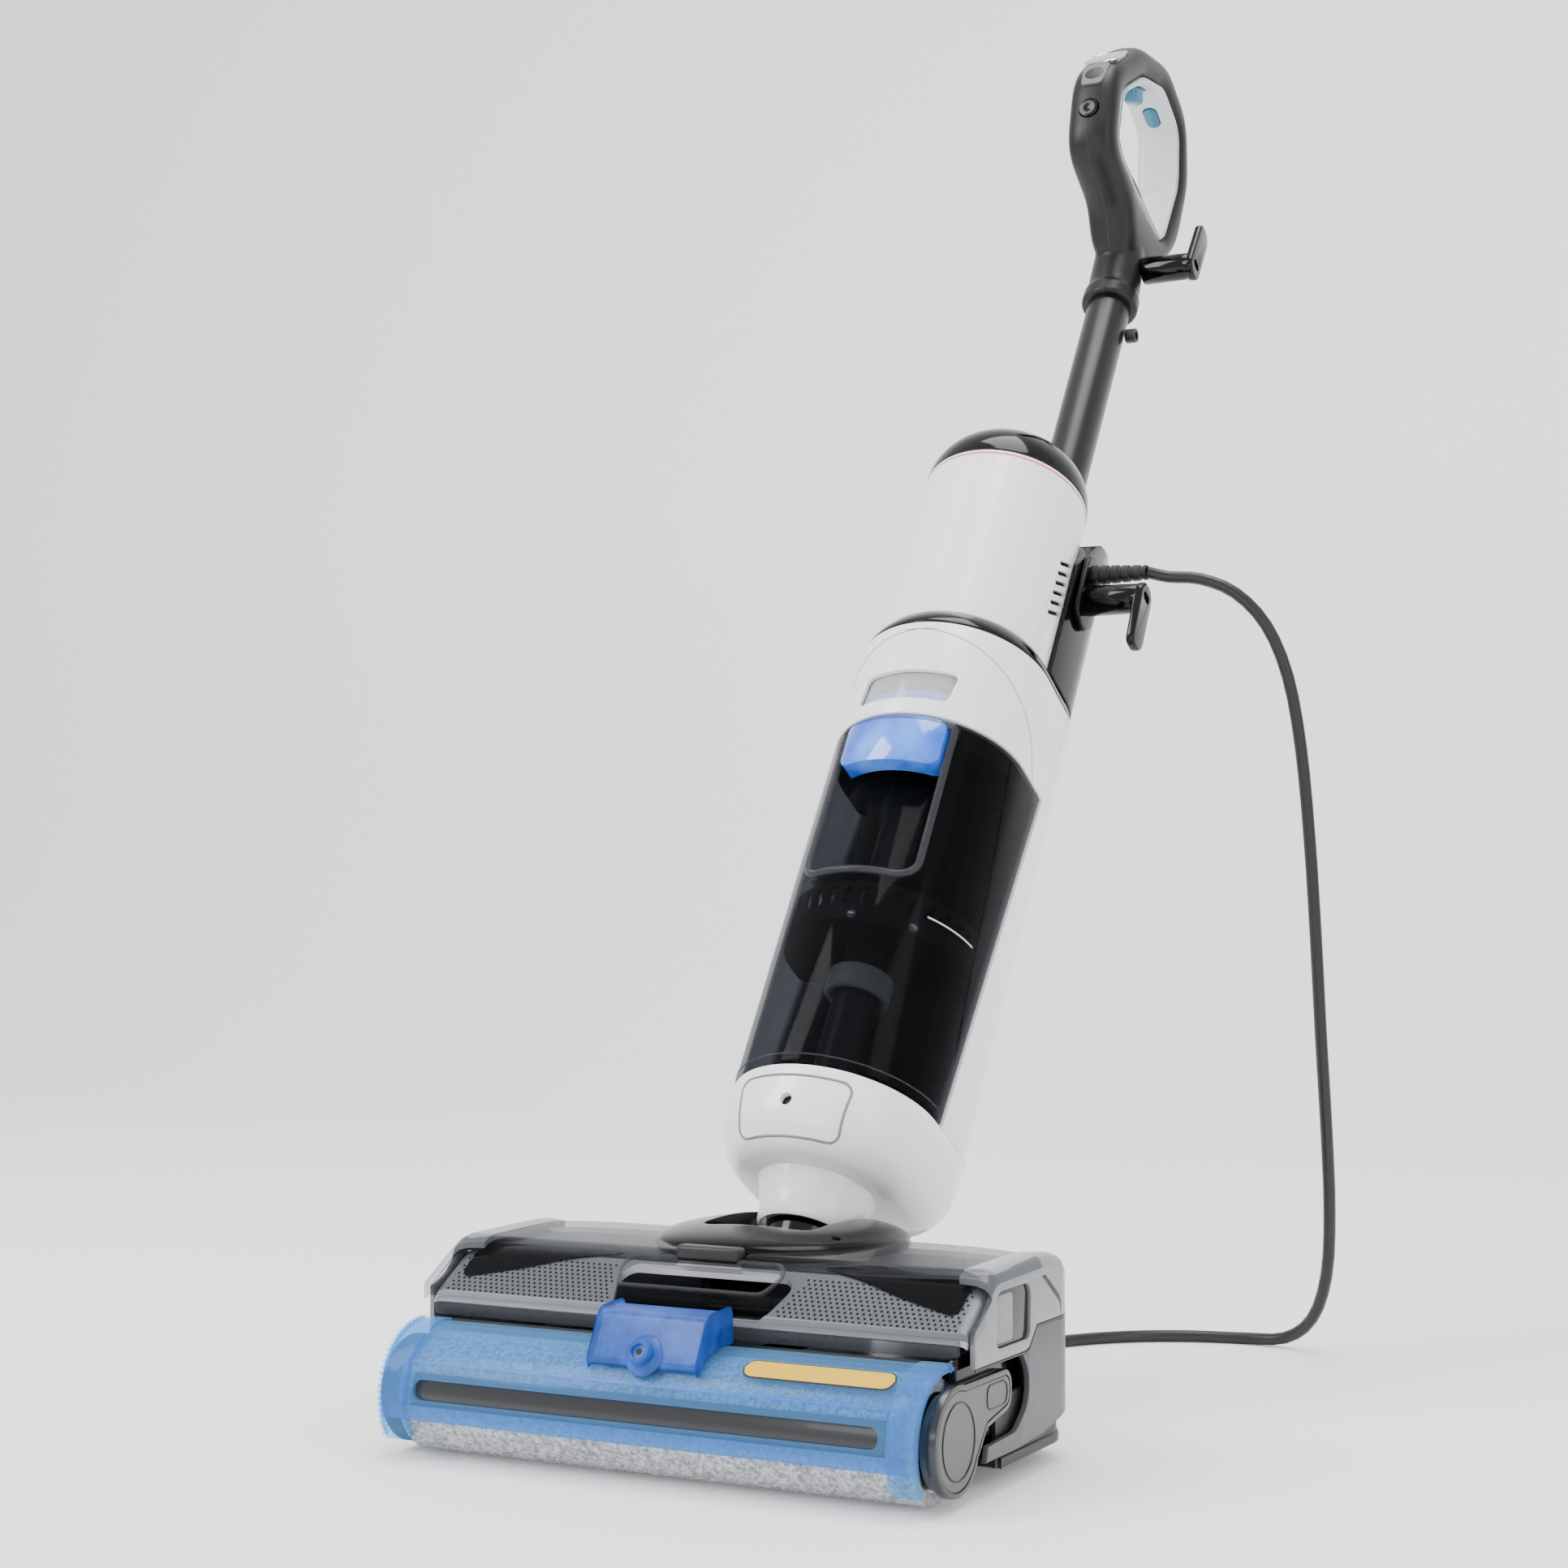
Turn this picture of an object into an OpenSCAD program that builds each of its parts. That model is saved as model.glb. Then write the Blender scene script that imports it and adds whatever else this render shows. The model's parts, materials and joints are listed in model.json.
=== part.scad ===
// Corded steam floor washer: a wide floor head with one plush roller, a leaning body that
// carries the dirty water tank, the clean water tank and the suction motor, and a wand with
// a loop handle.  +X is to the right, +Y to the back and +Z up.  The origin is the middle of
// the wiper blade's lower edge, on the floor.  Body stations are measured along the leaning
// body axis from the neck hinge.

/* [Head] */
// Width of the floor head
head_w = 286; // [260:2:320]
// Distance from the roller axis to the back of the head
head_back = 160; // [150:1:185]
// Height of the head above the floor
head_h = 97; // [92:1:112]
// Height of the transparent cover's front edge
brow_h = 78; // [74:1:84]
// Wall of the head's shells
head_wall = 2.6; // [2:0.1:3.4]
// Distance from the roller axis to the wiper blade
wiper_y = 46; // [44:0.5:54]
// Radius of a rear wheel
wheel_r = 12; // [9:0.5:14]
// Radius of a rear wheel's axle pin
axle_r = 2.5; // [2:0.1:3.5]
// Distance from the roller axis to the rear wheels
wheel_y = 139; // [125:1:142]

/* [Roller] */
// Radius of the roller over its pile
roller_r = 28; // [26:0.5:31]
// Length of the roller
roller_len = 262; // [236:2:290]
// Radius of the roller's tube
core_r = 21; // [18:0.5:24]
// Gap between the pile and the roller cover
cover_gap = 2; // [2:0.5:3.5]
// Wall of the roller cover
cover_wall = 2; // [2:0.1:3]
// Radius of the drive hub's spigot
hub_r = 13; // [10:0.5:15]

/* [Neck] */
// Lean of the body behind vertical
lean = 32.4; // [20:0.2:40]
// Distance from the roller axis to the neck hinge
neck_y = 111; // [104:1:118]
// Height of the neck hinge
neck_z = 62; // [56:1:66]
// Radius of the hinge barrel
barrel_r = 32; // [28:0.5:33]
// Length of the hinge barrel
barrel_len = 54; // [44:1:60]
// Radius of the hinge pin
pin_r = 5; // [4:0.25:7]
// Radius of the swivel spigot
spigot_r = 20; // [16:0.5:22]
// Distance from the hinge to the bottom of the cup
neck_len = 60; // [60:0.5:70]

/* [Body] */
// Radius of the lower body's front
body_r = 55; // [50:0.5:60]
// Distance from the body axis to the back of the body
body_back = 70; // [66:1:76]
// Radius of the motor housing
house_r = 48.3; // [45:0.1:49]
// Wall of the body's shells
wall = 2.5; // [2:0.1:3.2]
// Height of the cup under the dirty water tank
cup_h = 43.5; // [38:0.5:52]
// Height of the dirty water tank
tank_h = 214; // [180:1:257]
// Height of the collar round the clean water tank
collar_h = 62; // [56:1:74]
// Height of the glossy ring
ring_h = 12; // [8:0.5:14]
// Height of the motor housing
house_h = 119; // [110:1:142]
// Height of the domed cap
dome_h = 37.5; // [30:0.5:44]

/* [Wand and handle] */
// Radius of the wand
wand_r = 14; // [12:0.25:15]
// Gap between the wand and the motor housing
wand_gap = 0.7; // [0.4:0.1:3]
// Length of the wand outside the spine
wand_len = 224; // [190:1:268]
// Width of the handle's grip
grip_w = 32; // [28:0.5:38]
// Radius of the cord hooks' stems
hook_r = 9; // [7:0.25:10]
// Length of the cord hooks' stems
hook_len = 30; // [24:1:40]
// Diameter of the mains cord
cord_d = 7; // [6:0.25:8]

/* [Hidden] */
$fn = 64;

gap = 0.4;            // between pieces of one body
slip = 0.5;           // between pieces that slide past each other
run = 0.05;           // radial clearance of a pin in its bore
big = 800;            // longer than any piece, for cutting boxes
tiny = 0.01;          // keeps a cut clear of a face

roller_z = roller_r;
cover_in = roller_r + cover_gap;
cover_out = cover_in + cover_wall;
hw = head_w / 2;
bay_hw = roller_len / 2 + 2;
cover_hw = hw - 6;
rear_round = 28;
pan_z = 8;
latch_travel = 3.1;
seam_z = 56;
trim_low = seam_z + gap;
rear_z = 66;          // top of the lower shell's raised rear
saddle_r = 62;
saddle_y = 108;
wheel_x = 81;         // half the distance between the rear wheels
motor_y = 70;         // the roller motor's axis
motor_z = 34;

// Stations along the body axis
s_tank = neck_len + cup_h;
s_collar = s_tank + tank_h + gap;
s_ring = s_collar + collar_h;
s_house = s_ring + ring_h;
s_dome = s_house + house_h;
s_wand = s_dome + wand_len;
tank_top = s_tank + tank_h;
corner_r = 36;
pipe_y = -14;         // the riser pipe's place in the tank
pipe_r = 12;
basket_s = tank_top - 128;
corner_y = body_back - corner_r;
part_b = 8;           // where the tank's back plane meets its foot
part_tilt = 5.6;      // slope of the tank's back plane
wand_off = house_r + wand_r + wand_gap;
spine_r = 50;
spine_back = wand_off + wand_r + 3;
hook_b = 28;          // hooks' and cord exit's place behind the body axis
hook_s = s_house + 64;
exit_s = hook_s + 19;
neck_hook_s = s_wand + 29;

// Cord
cord_r = cord_d / 2;
boot_len = 32;
boot_r = 6;
coil_mid = 6 * cord_d;      // radius at the middle of the turns
coil_wide = 22;             // half the width of the wound ring
coil_high = 28.5;
coil_at = [-52, 268];
plug_at = [coil_at[0] - 53.1, coil_at[1] + 92];
plug_cord_z = 10.5;

function unit(v) = v / norm(v);
function turn(a) = a > 180 ? a - 360 : a < -180 ? a + 360 : a;
function corner(a, p, b, r, n) =
    let (u = unit(a - p), v = unit(b - p), half = acos(u * v) / 2,
        mid = p + unit(u + v) * r / sin(half),
        s = p + u * r / tan(half) - mid, e = p + v * r / tan(half) - mid,
        start = atan2(s[1], s[0]), sweep = turn(atan2(e[1], e[0]) - start))
    [for (i = [0:n]) mid + r * [cos(start + sweep * i / n), sin(start + sweep * i / n)]];
// An outline from [x, y, corner radius] points
function rounded(p, n = 6) = [for (i = [0:len(p) - 1])
    let (a = p[(i + len(p) - 1) % len(p)], b = p[(i + 1) % len(p)])
    each corner([a[0], a[1]], [p[i][0], p[i][1]], [b[0], b[1]], p[i][2], n)];

// Frames: at the roller's line on the floor, and at the leaning body's hinge
module at_roller() translate([0, -wiper_y, 0]) children();
module at_body() translate([0, neck_y - wiper_y, neck_z]) rotate([-lean, 0, 0]) children();
// Extrudes a (y, z) outline across the width, centred on x = 0
module across(width) rotate([90, 0, 90]) translate([0, 0, -width / 2])
    linear_extrude(width) children();
module along_x(r, x0, x1, y, z) translate([x0, y, z]) rotate([0, 90, 0])
    cylinder(h = x1 - x0, r = r);
module box(x0, x1, y0, y1, z0, z1) translate([x0, y0, z0]) cube([x1 - x0, y1 - y0, z1 - z0]);

// ---- Head ----
module plan(inset, y0) polygon(rounded([[hw - inset, y0, 3], [hw - inset, 126 - inset, rear_round],
    [100, head_back - inset, 50], [-100, head_back - inset, 50],
    [inset - hw, 126 - inset, rear_round], [inset - hw, y0, 3]]));
// Side outline of the head, lowered by drop
module side_line(drop, y0, z0) polygon(rounded([[y0, z0, 1], [y0 + drop, brow_h - drop, 2],
    [36 + drop / 2, head_h - 2 - drop, 14], [112, head_h - drop, 30],
    [head_back - drop, 79 - drop, 5], [head_back - drop, z0, 1]]));
module head_solid(inset, y0, z0) intersection() {
    translate([0, 0, z0]) linear_extrude(head_h) plan(inset, y0);
    across(head_w) side_line(inset, y0, z0);
}
module neck_slot(width, z0) box(-width / 2, width / 2, neck_y - barrel_r - 2, big, z0, big);

module base_pan() color("#1b1c1e") at_roller() difference() {
    union() {
        translate([0, 0, pan_z]) linear_extrude(5) plan(head_wall + gap, wiper_y + 3);
        for (side = [-1, 1]) {
            // Hinge towers
            box(side * 36 - 6, side * 36 + 6, neck_y - 12, neck_y + 12, pan_z + 5 - tiny, neck_z + 12);
            // Wheel forks
            for (x = [70, 92])
                box(side * x - 3, side * x + 3, wheel_y - 8, wheel_y + 8, pan_z + 5 - tiny, 22);
        }
        box(-bay_hw + 6, bay_hw - 6, wiper_y - 2, wiper_y + 3 + tiny, pan_z + 2, pan_z + 5);
    }
    for (side = [-1, 1]) {
        box(side * wheel_x - 8, side * wheel_x + 8, wheel_y - wheel_r - 2, wheel_y + wheel_r + 2, 0, 20);
        along_x(axle_r, side * wheel_x - 20, side * wheel_x + 20, wheel_y, wheel_r);
    }
    along_x(pin_r, -60, 60, neck_y, neck_z);
}

module roller_bay() color("#26272a") at_roller() difference() {
    intersection() {
        along_x(cover_in + 3, -bay_hw, bay_hw, 0, roller_z);
        box(-big, big, 8, big, pan_z + 12, big);
    }
    along_x(cover_in, -big, big, 0, roller_z);
    along_x(9, -10, 10, cover_in, roller_z + 12);
}

module wiper_blade() color("#151515")
    box(-roller_len / 2 + 6, roller_len / 2 - 6, -1.6, 1.6, 0, pan_z + 2 - gap);

// Pocket in the head's right side for the end cap and the fingers that pull it
module cap_pocket(grow) {
    rotate([90, 0, 90]) linear_extrude(big) union() {
        translate([0, roller_z]) circle(r = cover_out - 3 + grow);
        polygon(rounded([[0, 20, 5], [62, 24 - grow, 14], [84 + grow, 40, 16],
            [60, 62 + grow, 12], [0, 58, 5]]));
    }
}

// Dark sides and back, with the drive's round cover in front of the left side
module lower_shell() color("#5a5c60") at_roller() {
    drive_cover();
    lower_walls();
}
module lower_walls() difference() {
    intersection() {
        translate([0, 0, pan_z + 4]) linear_extrude(big) plan(0, 15);
        across(head_w) polygon(rounded([[15, pan_z + 7, 3], [96, pan_z + 7, 20], [head_back, 24, 20],
            [head_back, rear_z, 2], [82, rear_z, 4], [80, seam_z, 6], [34, seam_z, 2], [15, 50, 2]]));
    }
    translate([0, 0, -1]) linear_extrude(big) plan(head_wall, -big / 2);
    translate([head_wall / 2, 0, 0]) intersection() {
        cap_pocket(0);
        box(0, big, -big, big, 0, seam_z - 3);
    }
    neck_slot(64, 44);
}
module drive_cover() {
    along_x(25, -hw, -hw + head_wall, 0, roller_z);
    box(-hw, -hw + head_wall, 0, 16, roller_z - 14, roller_z + 24);
}

module side_trims() color("#b9bbbe") at_roller() difference() {
    intersection() {
        head_solid(0, 15, trim_low);
        across(head_w) polygon(rounded([[18, trim_low, 3], [80 - gap, trim_low, 6],
            [82 - gap, rear_z + gap, 4], [head_back, rear_z + gap, 2], [head_back, head_h - 6, 2],
            [18, head_h - 6, 2]]));
    }
    translate([0, 0, -1]) linear_extrude(big) plan(head_wall, -big / 2);
    head_top_cut();
    rotate([90, 0, 90]) translate([0, 0, hw - head_wall - 1]) linear_extrude(4)
        polygon(rounded([[37, 61, 3], [76, 61, 5], [78, 86, 5], [37, 86, 6]]));
    neck_slot(64, 44);
}
// Everything above the underside of the transparent cover
module head_top_cut() difference() {
    box(-big, big, -big, big, 40, big);
    across(big) side_line(3 + gap, 10, 30);
}

module top_cover() color([0.55, 0.57, 0.6, 0.5]) at_roller() difference() {
    head_solid(0, 10, brow_h - 8);
    across(big) side_line(3, 10, brow_h - 20);
    box(-big, big, -big, 10 - tiny, 0, big);
    box(-big, big, 80, big, 0, rear_z + gap);
    // Grip slot over the latch
    translate([0, 0, 60]) linear_extrude(big)
        polygon(rounded([[-38, 16, 5], [38, 16, 5], [46, 34, 7], [-46, 34, 7]]));
    neck_slot(64, 44);
}

module inner_panel() color("#9a9ca0") at_roller() difference() {
    intersection() {
        head_solid(head_wall + 0.6, 12, brow_h - 12);
        across(big) side_line(5.6, 12, brow_h - 20);
    }
    across(big) side_line(7.4, 12, brow_h - 30);
    translate([0, 0, 60]) linear_extrude(big)
        polygon(rounded([[-41, 8, 5], [41, 8, 5], [49, 37, 7], [-49, 37, 7]]));
    neck_slot(64, 44);
}

module bumper_strip() color([0.3, 0.31, 0.33, 0.7]) at_roller()
    box(-cover_hw, cover_hw, 10.5, 14.5, cover_out + roller_z + 0.6, brow_h - 8.5);

// Shallow glossy dome in front of and beside the neck
module saddle() color("#0c0c0d") at_roller() difference() {
    translate([0, saddle_y, head_h - 5]) {
        cylinder(h = 3 + tiny, r = saddle_r, $fn = 96);
        translate([0, 0, 3]) dome(saddle_r, 11, $fn = 96);
    }
    box(-big, big, head_back - 6, big, 0, big);
    across(big) side_line(-0.3, 10, 30);
    neck_slot(60, 0);
}

module cover_latch() color("#2c2d30") at_roller() difference() {
    box(-17, 17, 32, 41, head_h - 5, head_h + 2);
    // Clear of the cover over its whole travel
    for (shift = [0, -latch_travel]) translate([0, shift, 0]) across(big) side_line(-0.3, 10, 30);
}

module boiler() color("silver") at_roller() box(40, 112, 50, 92, pan_z + 5 + gap, 52);

module suction_duct() color("#33353a") at_roller() difference() {
    box(-24, 24, cover_in + 3 + gap, neck_y - barrel_r - 2, 30, 54);
    box(-21, 21, 0, big, 33, 51);
}

module drive_motor() color("#8d9094") at_roller() along_x(16, -112, -44, motor_y, motor_z);

module motor_pulley() color("#d8d8d4") at_roller() {
    along_x(3, -bay_hw - 1, -112 - slip, motor_y, motor_z);
    along_x(8, -bay_hw - 7, -bay_hw - 1 + tiny, motor_y, motor_z);
}
// Toothed belt as a flat stadium ring round both pulleys
module belt_line(r0, r1) hull() {
    translate([0, roller_z]) circle(r = r1);
    translate([motor_y, motor_z]) circle(r = r0);
}
module drive_belt() color("#202020") at_roller() translate([-bay_hw - 6.5, 0, 0]) rotate([90, 0, 90])
    linear_extrude(5) difference() {
        belt_line(10, 18.5);
        belt_line(8.4, 16.9);
    }
module drive_hub() color("#dcdcd6") at_roller() {
    along_x(16.4, -bay_hw - 7, -bay_hw - 1, 0, roller_z);
    along_x(hub_r, -bay_hw - 1 - tiny, -roller_len / 2 + 22, 0, roller_z);
}

module wheel_axles() color("silver") at_roller() for (side = [-1, 1])
    along_x(axle_r - run / 2, side * wheel_x - 13, side * wheel_x + 13, wheel_y, wheel_r);
module rear_wheel(side) color("#1d1d1f") at_roller() difference() {
    along_x(wheel_r, side * wheel_x - 6.5, side * wheel_x + 6.5, wheel_y, wheel_r);
    along_x(axle_r + run / 2, side * wheel_x - 10, side * wheel_x + 10, wheel_y, wheel_r);
}
module rear_wheel_left() rear_wheel(-1);
module rear_wheel_right() rear_wheel(1);

module hinge_pin() color("silver") at_roller() along_x(pin_r - run, -44, 44, neck_y, neck_z);

// ---- Roller cover, lifted off forwards ----
module roller_cover() color([0.36, 0.6, 0.82, 0.5]) at_roller() difference() {
    union() {
        intersection() {
            along_x(cover_out, -cover_hw, cover_hw, 0, roller_z);
            union() {
                box(-big, big, -big, 0, roller_z - 5, big);
                box(-big, big, -1, 14, roller_z + 20, big);
            }
        }
        box(-cover_hw, cover_hw, -2, 7.6, cover_in + roller_z - 1, cover_out + roller_z);
    }
    along_x(cover_in, -cover_hw + 4, cover_hw - 4, 0, roller_z);
    along_x(roller_r + 1, -big, big, 0, roller_z);
    box(-big, big, 7.6, big, 0, big);
}
module steam_box() color("#3f6fc4") at_roller() difference() {
    across(56) polygon(rounded([[-26, 50, 2], [-13, 75, 3], [6, 75, 2], [6, 60, 1], [-10, 50, 1]]));
    along_x(cover_out + gap, -big, big, 0, roller_z);
    box(-big, big, -3, big, 0, cover_out + roller_z + gap);
}
// Stands square on the middle of the box's sloping front
module steam_nozzle() color("#6fa8e8") at_roller()
    translate([0, -22.5, 57.05]) rotate([62.5, 0, 0]) difference() {
        cylinder(h = 7, r1 = 6, r2 = 4.5);
        translate([0, 0, 2]) cylinder(h = 8, r = 1.5);
    }

// ---- Roller, drawn out sideways on its end cap ----
module roller_core() color("#c9c9c6") at_roller() difference() {
    along_x(core_r, -roller_len / 2, roller_len / 2, 0, roller_z);
    along_x(core_r - 3, -roller_len / 2 + 24, roller_len / 2 - 24, 0, roller_z);
    along_x(hub_r + slip, -roller_len / 2 - 1, -roller_len / 2 + 25, 0, roller_z);
    along_x(6 + run, roller_len / 2 - 25, roller_len / 2 + 1, 0, roller_z);
}
module roller_pile() color("#b4b5b6") at_roller() difference() {
    along_x(roller_r, -roller_len / 2, roller_len / 2, 0, roller_z);
    along_x(core_r, -big, big, 0, roller_z);
}
module cap_outline(inset) union() {
    translate([0, roller_z + 1]) circle(r = 24 - inset);
    polygon(rounded([[-4, 22 + inset, 2], [20, 26 + inset, 4], [58 - inset, 33 + inset, 8.6 - inset],
        [58 - inset, 52 - inset, 8.6 - inset], [20, 52 - inset, 4], [-4, 51 - inset, 2]]));
}
module end_cap() color("#4a4c50") at_roller() {
    difference() {
        translate([cover_hw + slip, 0, 0]) rotate([90, 0, 90]) linear_extrude(4.5) cap_outline(0);
        translate([cover_hw + slip + 3, 0, 0]) rotate([90, 0, 90]) linear_extrude(4) cap_outline(2);
    }
    along_x(21, bay_hw + 1, cover_hw + slip + tiny, 0, roller_z);
    along_x(6, roller_len / 2 - 22, bay_hw + 1 + tiny, 0, roller_z);
}
module end_cap_inlay() color("#8b8d90") at_roller()
    translate([cover_hw + slip + 3, 0, 0]) rotate([90, 0, 90]) linear_extrude(2.2) cap_outline(2 + gap);

// ---- Neck ----
module neck_yoke() color("#141415") at_body() difference() {
    union() {
        along_x(barrel_r, -barrel_len / 2, barrel_len / 2, 0, 0);
        cylinder(h = neck_len + 14, r = spigot_r);
    }
    along_x(pin_r, -big, big, 0, 0);
    translate([0, 0, barrel_r - 6]) cylinder(h = big, r = spigot_r - 4);
}

// ---- Body ----
// Rounded front, flat sides and a softly squared back
module d_section(inset, r = body_r, back = body_back, c = corner_r) {
    cy = back - c;
    cx = r - c;
    circle(r = r - inset);
    translate([inset - r, 0]) square([2 * (r - inset), cy]);
    for (side = [-1, 1]) translate([side * cx, cy]) circle(r = c - inset);
    translate([-cx, cy]) square([2 * cx, c - inset]);
}
module d_block(inset, s0, s1) translate([0, 0, s0]) linear_extrude(s1 - s0) d_section(inset);
// The half space in front of the tank's sloping back plane, moved back by shift
module tank_side(shift) translate([0, part_b + shift, s_tank]) rotate([-part_tilt, 0, 0])
    box(-big, big, -big, 0, -big, big);

module swivel_sleeve() color("#ececec") at_body() difference() {
    translate([0, 0, barrel_r + 5]) cylinder(h = neck_len - barrel_r - 5 + 12, r = spigot_r + 5);
    cylinder(h = big, r = spigot_r + run);
}
module cup_hull(inset) hull() {
    translate([0, 0, neck_len + 22]) linear_extrude(cup_h - 22) d_section(inset, $fn = 32);
    translate([0, 2, neck_len + inset]) linear_extrude(1) scale(0.64) d_section(inset, $fn = 32);
}
module lower_cup() color("#ececec") at_body() difference() {
    cup_hull(0);
    difference() {
        cup_hull(wall);
        translate([0, 0, s_tank - 3]) cylinder(h = 10, r = 200);
    }
    translate([0, 0, neck_len - 5]) cylinder(h = 30, r = spigot_r + 5);
    // Screw in the front panel
    translate([0, -big / 2, s_tank - 20]) rotate([90, 0, 0]) cylinder(h = big, r = 2, center = true);
}
module back_frame() color("#f0f0f0") at_body() difference() {
    d_block(0, s_tank, tank_top);
    tank_side(gap);
    difference() {
        d_block(wall, s_tank + wall, tank_top - wall);
        tank_side(gap + wall);
    }
}
// Finger recess in the front of the tank, under the release button
module grip_recess(grow) difference() {
    box(-31 - grow, 31 + grow, -big, 0, tank_top - 98 - grow, tank_top + 1);
    cylinder(h = big, r = body_r - 15 - grow);
}
module dirty_tank() color([0.16, 0.17, 0.19, 0.6]) at_body() difference() {
    intersection() {
        d_block(0, s_tank + slip, tank_top - slip);
        tank_side(0);
    }
    difference() {
        intersection() {
            d_block(wall, s_tank + slip + wall, big);
            tank_side(-wall);
        }
        grip_recess(wall);
    }
    grip_recess(0);
}
module tank_lid() color("#2a2b2e") at_body() difference() {
    intersection() {
        d_block(wall + gap, tank_top - 12, tank_top - slip);
        tank_side(-wall - gap);
    }
    grip_recess(wall + gap);
    translate([0, pipe_y, tank_top - 20]) cylinder(h = 30, r = pipe_r + 2);
}
module release_button() color([0.25, 0.5, 0.95, 0.8]) at_body() intersection() {
    difference() {
        translate([0, 0, tank_top - 31]) cylinder(h = 28.5, r = body_r + 1.5);
        translate([0, 0, tank_top - 40]) cylinder(h = 50, r = body_r - 9);
    }
    rotate([90, 0, 0]) linear_extrude(big) polygon(rounded([[-29, tank_top - 31, 7], [29, tank_top - 31, 7],
        [29, tank_top - 2.5, 5], [-29, tank_top - 2.5, 5]]));
}
// A slice of the tank's own section, with a wall inset from it
module tank_slice(inset, s0, s1) intersection() {
    d_block(inset, s0, s1);
    tank_side(-inset);
}
module filter_basket() color("#1c1d1f") at_body() difference() {
    tank_slice(wall + 1, basket_s, basket_s + 24);
    tank_slice(2 * wall, basket_s + wall, big);
    translate([0, pipe_y, 0]) cylinder(h = big, r = pipe_r + 1);
    for (i = [-4:4]) rotate([0, 0, 18 * i]) translate([-3, -big, basket_s + 7]) cube([6, big - 30, 10]);
}
module float_ball() color("#e8e8e8") at_body() translate([0, pipe_y, basket_s - 26]) difference() {
    cylinder(h = 14, r = 17);
    translate([0, 0, -1]) cylinder(h = 20, r = pipe_r + 1);
}
module tank_pipe() color("#3a3c40") at_body() translate([0, pipe_y, s_tank + slip + wall]) difference() {
    cylinder(h = tank_h - 16, r = pipe_r);
    translate([0, 0, -1]) cylinder(h = tank_h, r = pipe_r - 2);
}

// Housing of the clean water tank, open at the back
module collar() color("#f0f0f0") at_body() difference() {
    d_block(0, s_collar, s_ring);
    d_block(wall, s_collar + wall, s_ring - wall);
    box(-big, big, corner_y, big, s_collar + wall, s_ring - wall);
    translate([0, 0, s_collar - 1]) cylinder(h = 6, r = 12);
    rotate([90, 0, 0]) linear_extrude(big) polygon(rounded([[-29, s_collar + 10, 4], [25, s_collar + 10, 4],
        [28, s_collar + 29, 4], [-26, s_collar + 29, 4]]));
}
module clean_tank() color([0.85, 0.92, 1, 0.4]) at_body() difference() {
    d_block(wall + slip, s_collar + wall + slip, s_ring - wall - slip);
    box(-big, big, body_back - 12, big, 0, big);
    difference() {
        d_block(2 * wall + slip, s_collar + 2 * wall + slip, s_ring - 2 * wall - slip);
        box(-big, big, body_back - 12 - wall, big, 0, big);
    }
}
module clean_water() color([0.2, 0.5, 0.95, 0.6]) at_body() difference() {
    d_block(2 * wall + 2 * slip, s_collar + 2 * wall + 2 * slip, s_collar + 20);
    box(-big, big, body_back - 13 - wall, big, 0, big);
}
module clean_tank_cover() color("#f0f0f0") at_body() difference() {
    d_block(0, s_collar + wall + slip, s_ring - wall - slip);
    box(-big, big, -big, corner_y + slip, 0, big);
    difference() {
        d_block(wall + slip - gap, 0, big);
        box(-big, big, body_back - 12 + gap, big, 0, big);
    }
    box(-16, 16, body_back - 7, big, s_collar + 20, s_collar + 40);
}

module gloss_ring() color("#0d0d0e") at_body() difference() {
    union() {
        translate([0, 0, s_ring + gap]) cylinder(h = ring_h - gap, r1 = body_r - 0.5, r2 = house_r);
        intersection() {
            d_block(1, s_ring + gap, s_house);
            box(-big, big, 12, big, 0, big);
        }
    }
    translate([0, 0, s_ring]) cylinder(h = 3 * ring_h, r = 38, center = true);
}
module motor_housing() color("#f4f4f4") at_body() difference() {
    translate([0, 0, s_house]) cylinder(h = house_h, r = house_r);
    translate([0, 0, s_house - 1]) cylinder(h = house_h - wall, r = house_r - wall);
    // Exhaust slits beside the spine
    for (side = [-1, 1]) for (i = [0:5]) rotate([0, 0, 90 - side * 86])
        translate([house_r, 0, s_house + 36 + 7 * i]) rotate([side * 32, 0, 0])
            cube([10, 22, 2.4], center = true);
}
module dome(r, h) rotate_extrude()
    polygon(concat([[0, 0]], [for (a = [0:9:90]) [r * cos(a), h * sin(a)]]));
module dome_cap() color("#0b0b0c") at_body() translate([0, 0, s_dome + gap]) difference() {
    dome(house_r, dome_h);
    translate([0, 0, -1]) dome(house_r - wall, dome_h - wall);
}
module suction_motor() color("#9fa2a6") at_body() {
    translate([0, 0, s_house + gap]) cylinder(h = 22, r = house_r - wall - gap);
    translate([0, 0, s_house + 22]) cylinder(h = 46, r = 26);
}
// Black back of the motor housing that carries the wand and the hooks
module spine() color("#121213") at_body() difference() {
    intersection() {
        translate([0, 0, s_house + gap]) linear_extrude(house_h - gap)
            d_section(0, spine_r, spine_back, 40);
        across(2 * big) polygon(rounded([[12, s_house, 1], [spine_back + 4, s_house, 6],
            [spine_back + 4, s_dome - 24, 20], [52, s_dome - 4, 10], [32, s_dome - 8, 16],
            [12, s_dome - 40, 10]]));
    }
    cylinder(h = big, r = house_r + gap);
    translate([0, wand_off, s_house + 40]) cylinder(h = big, r = wand_r);
    difference() {
        translate([0, 0, s_house + 4]) linear_extrude(house_h - 56) d_section(3, spine_r, spine_back, 40);
        cylinder(h = big, r = house_r + gap + 2.5);
        translate([0, wand_off, s_house]) cylinder(h = big, r = wand_r + 2.5);
        box(-big, big, -big, 16, 0, big);
    }
}

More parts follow.
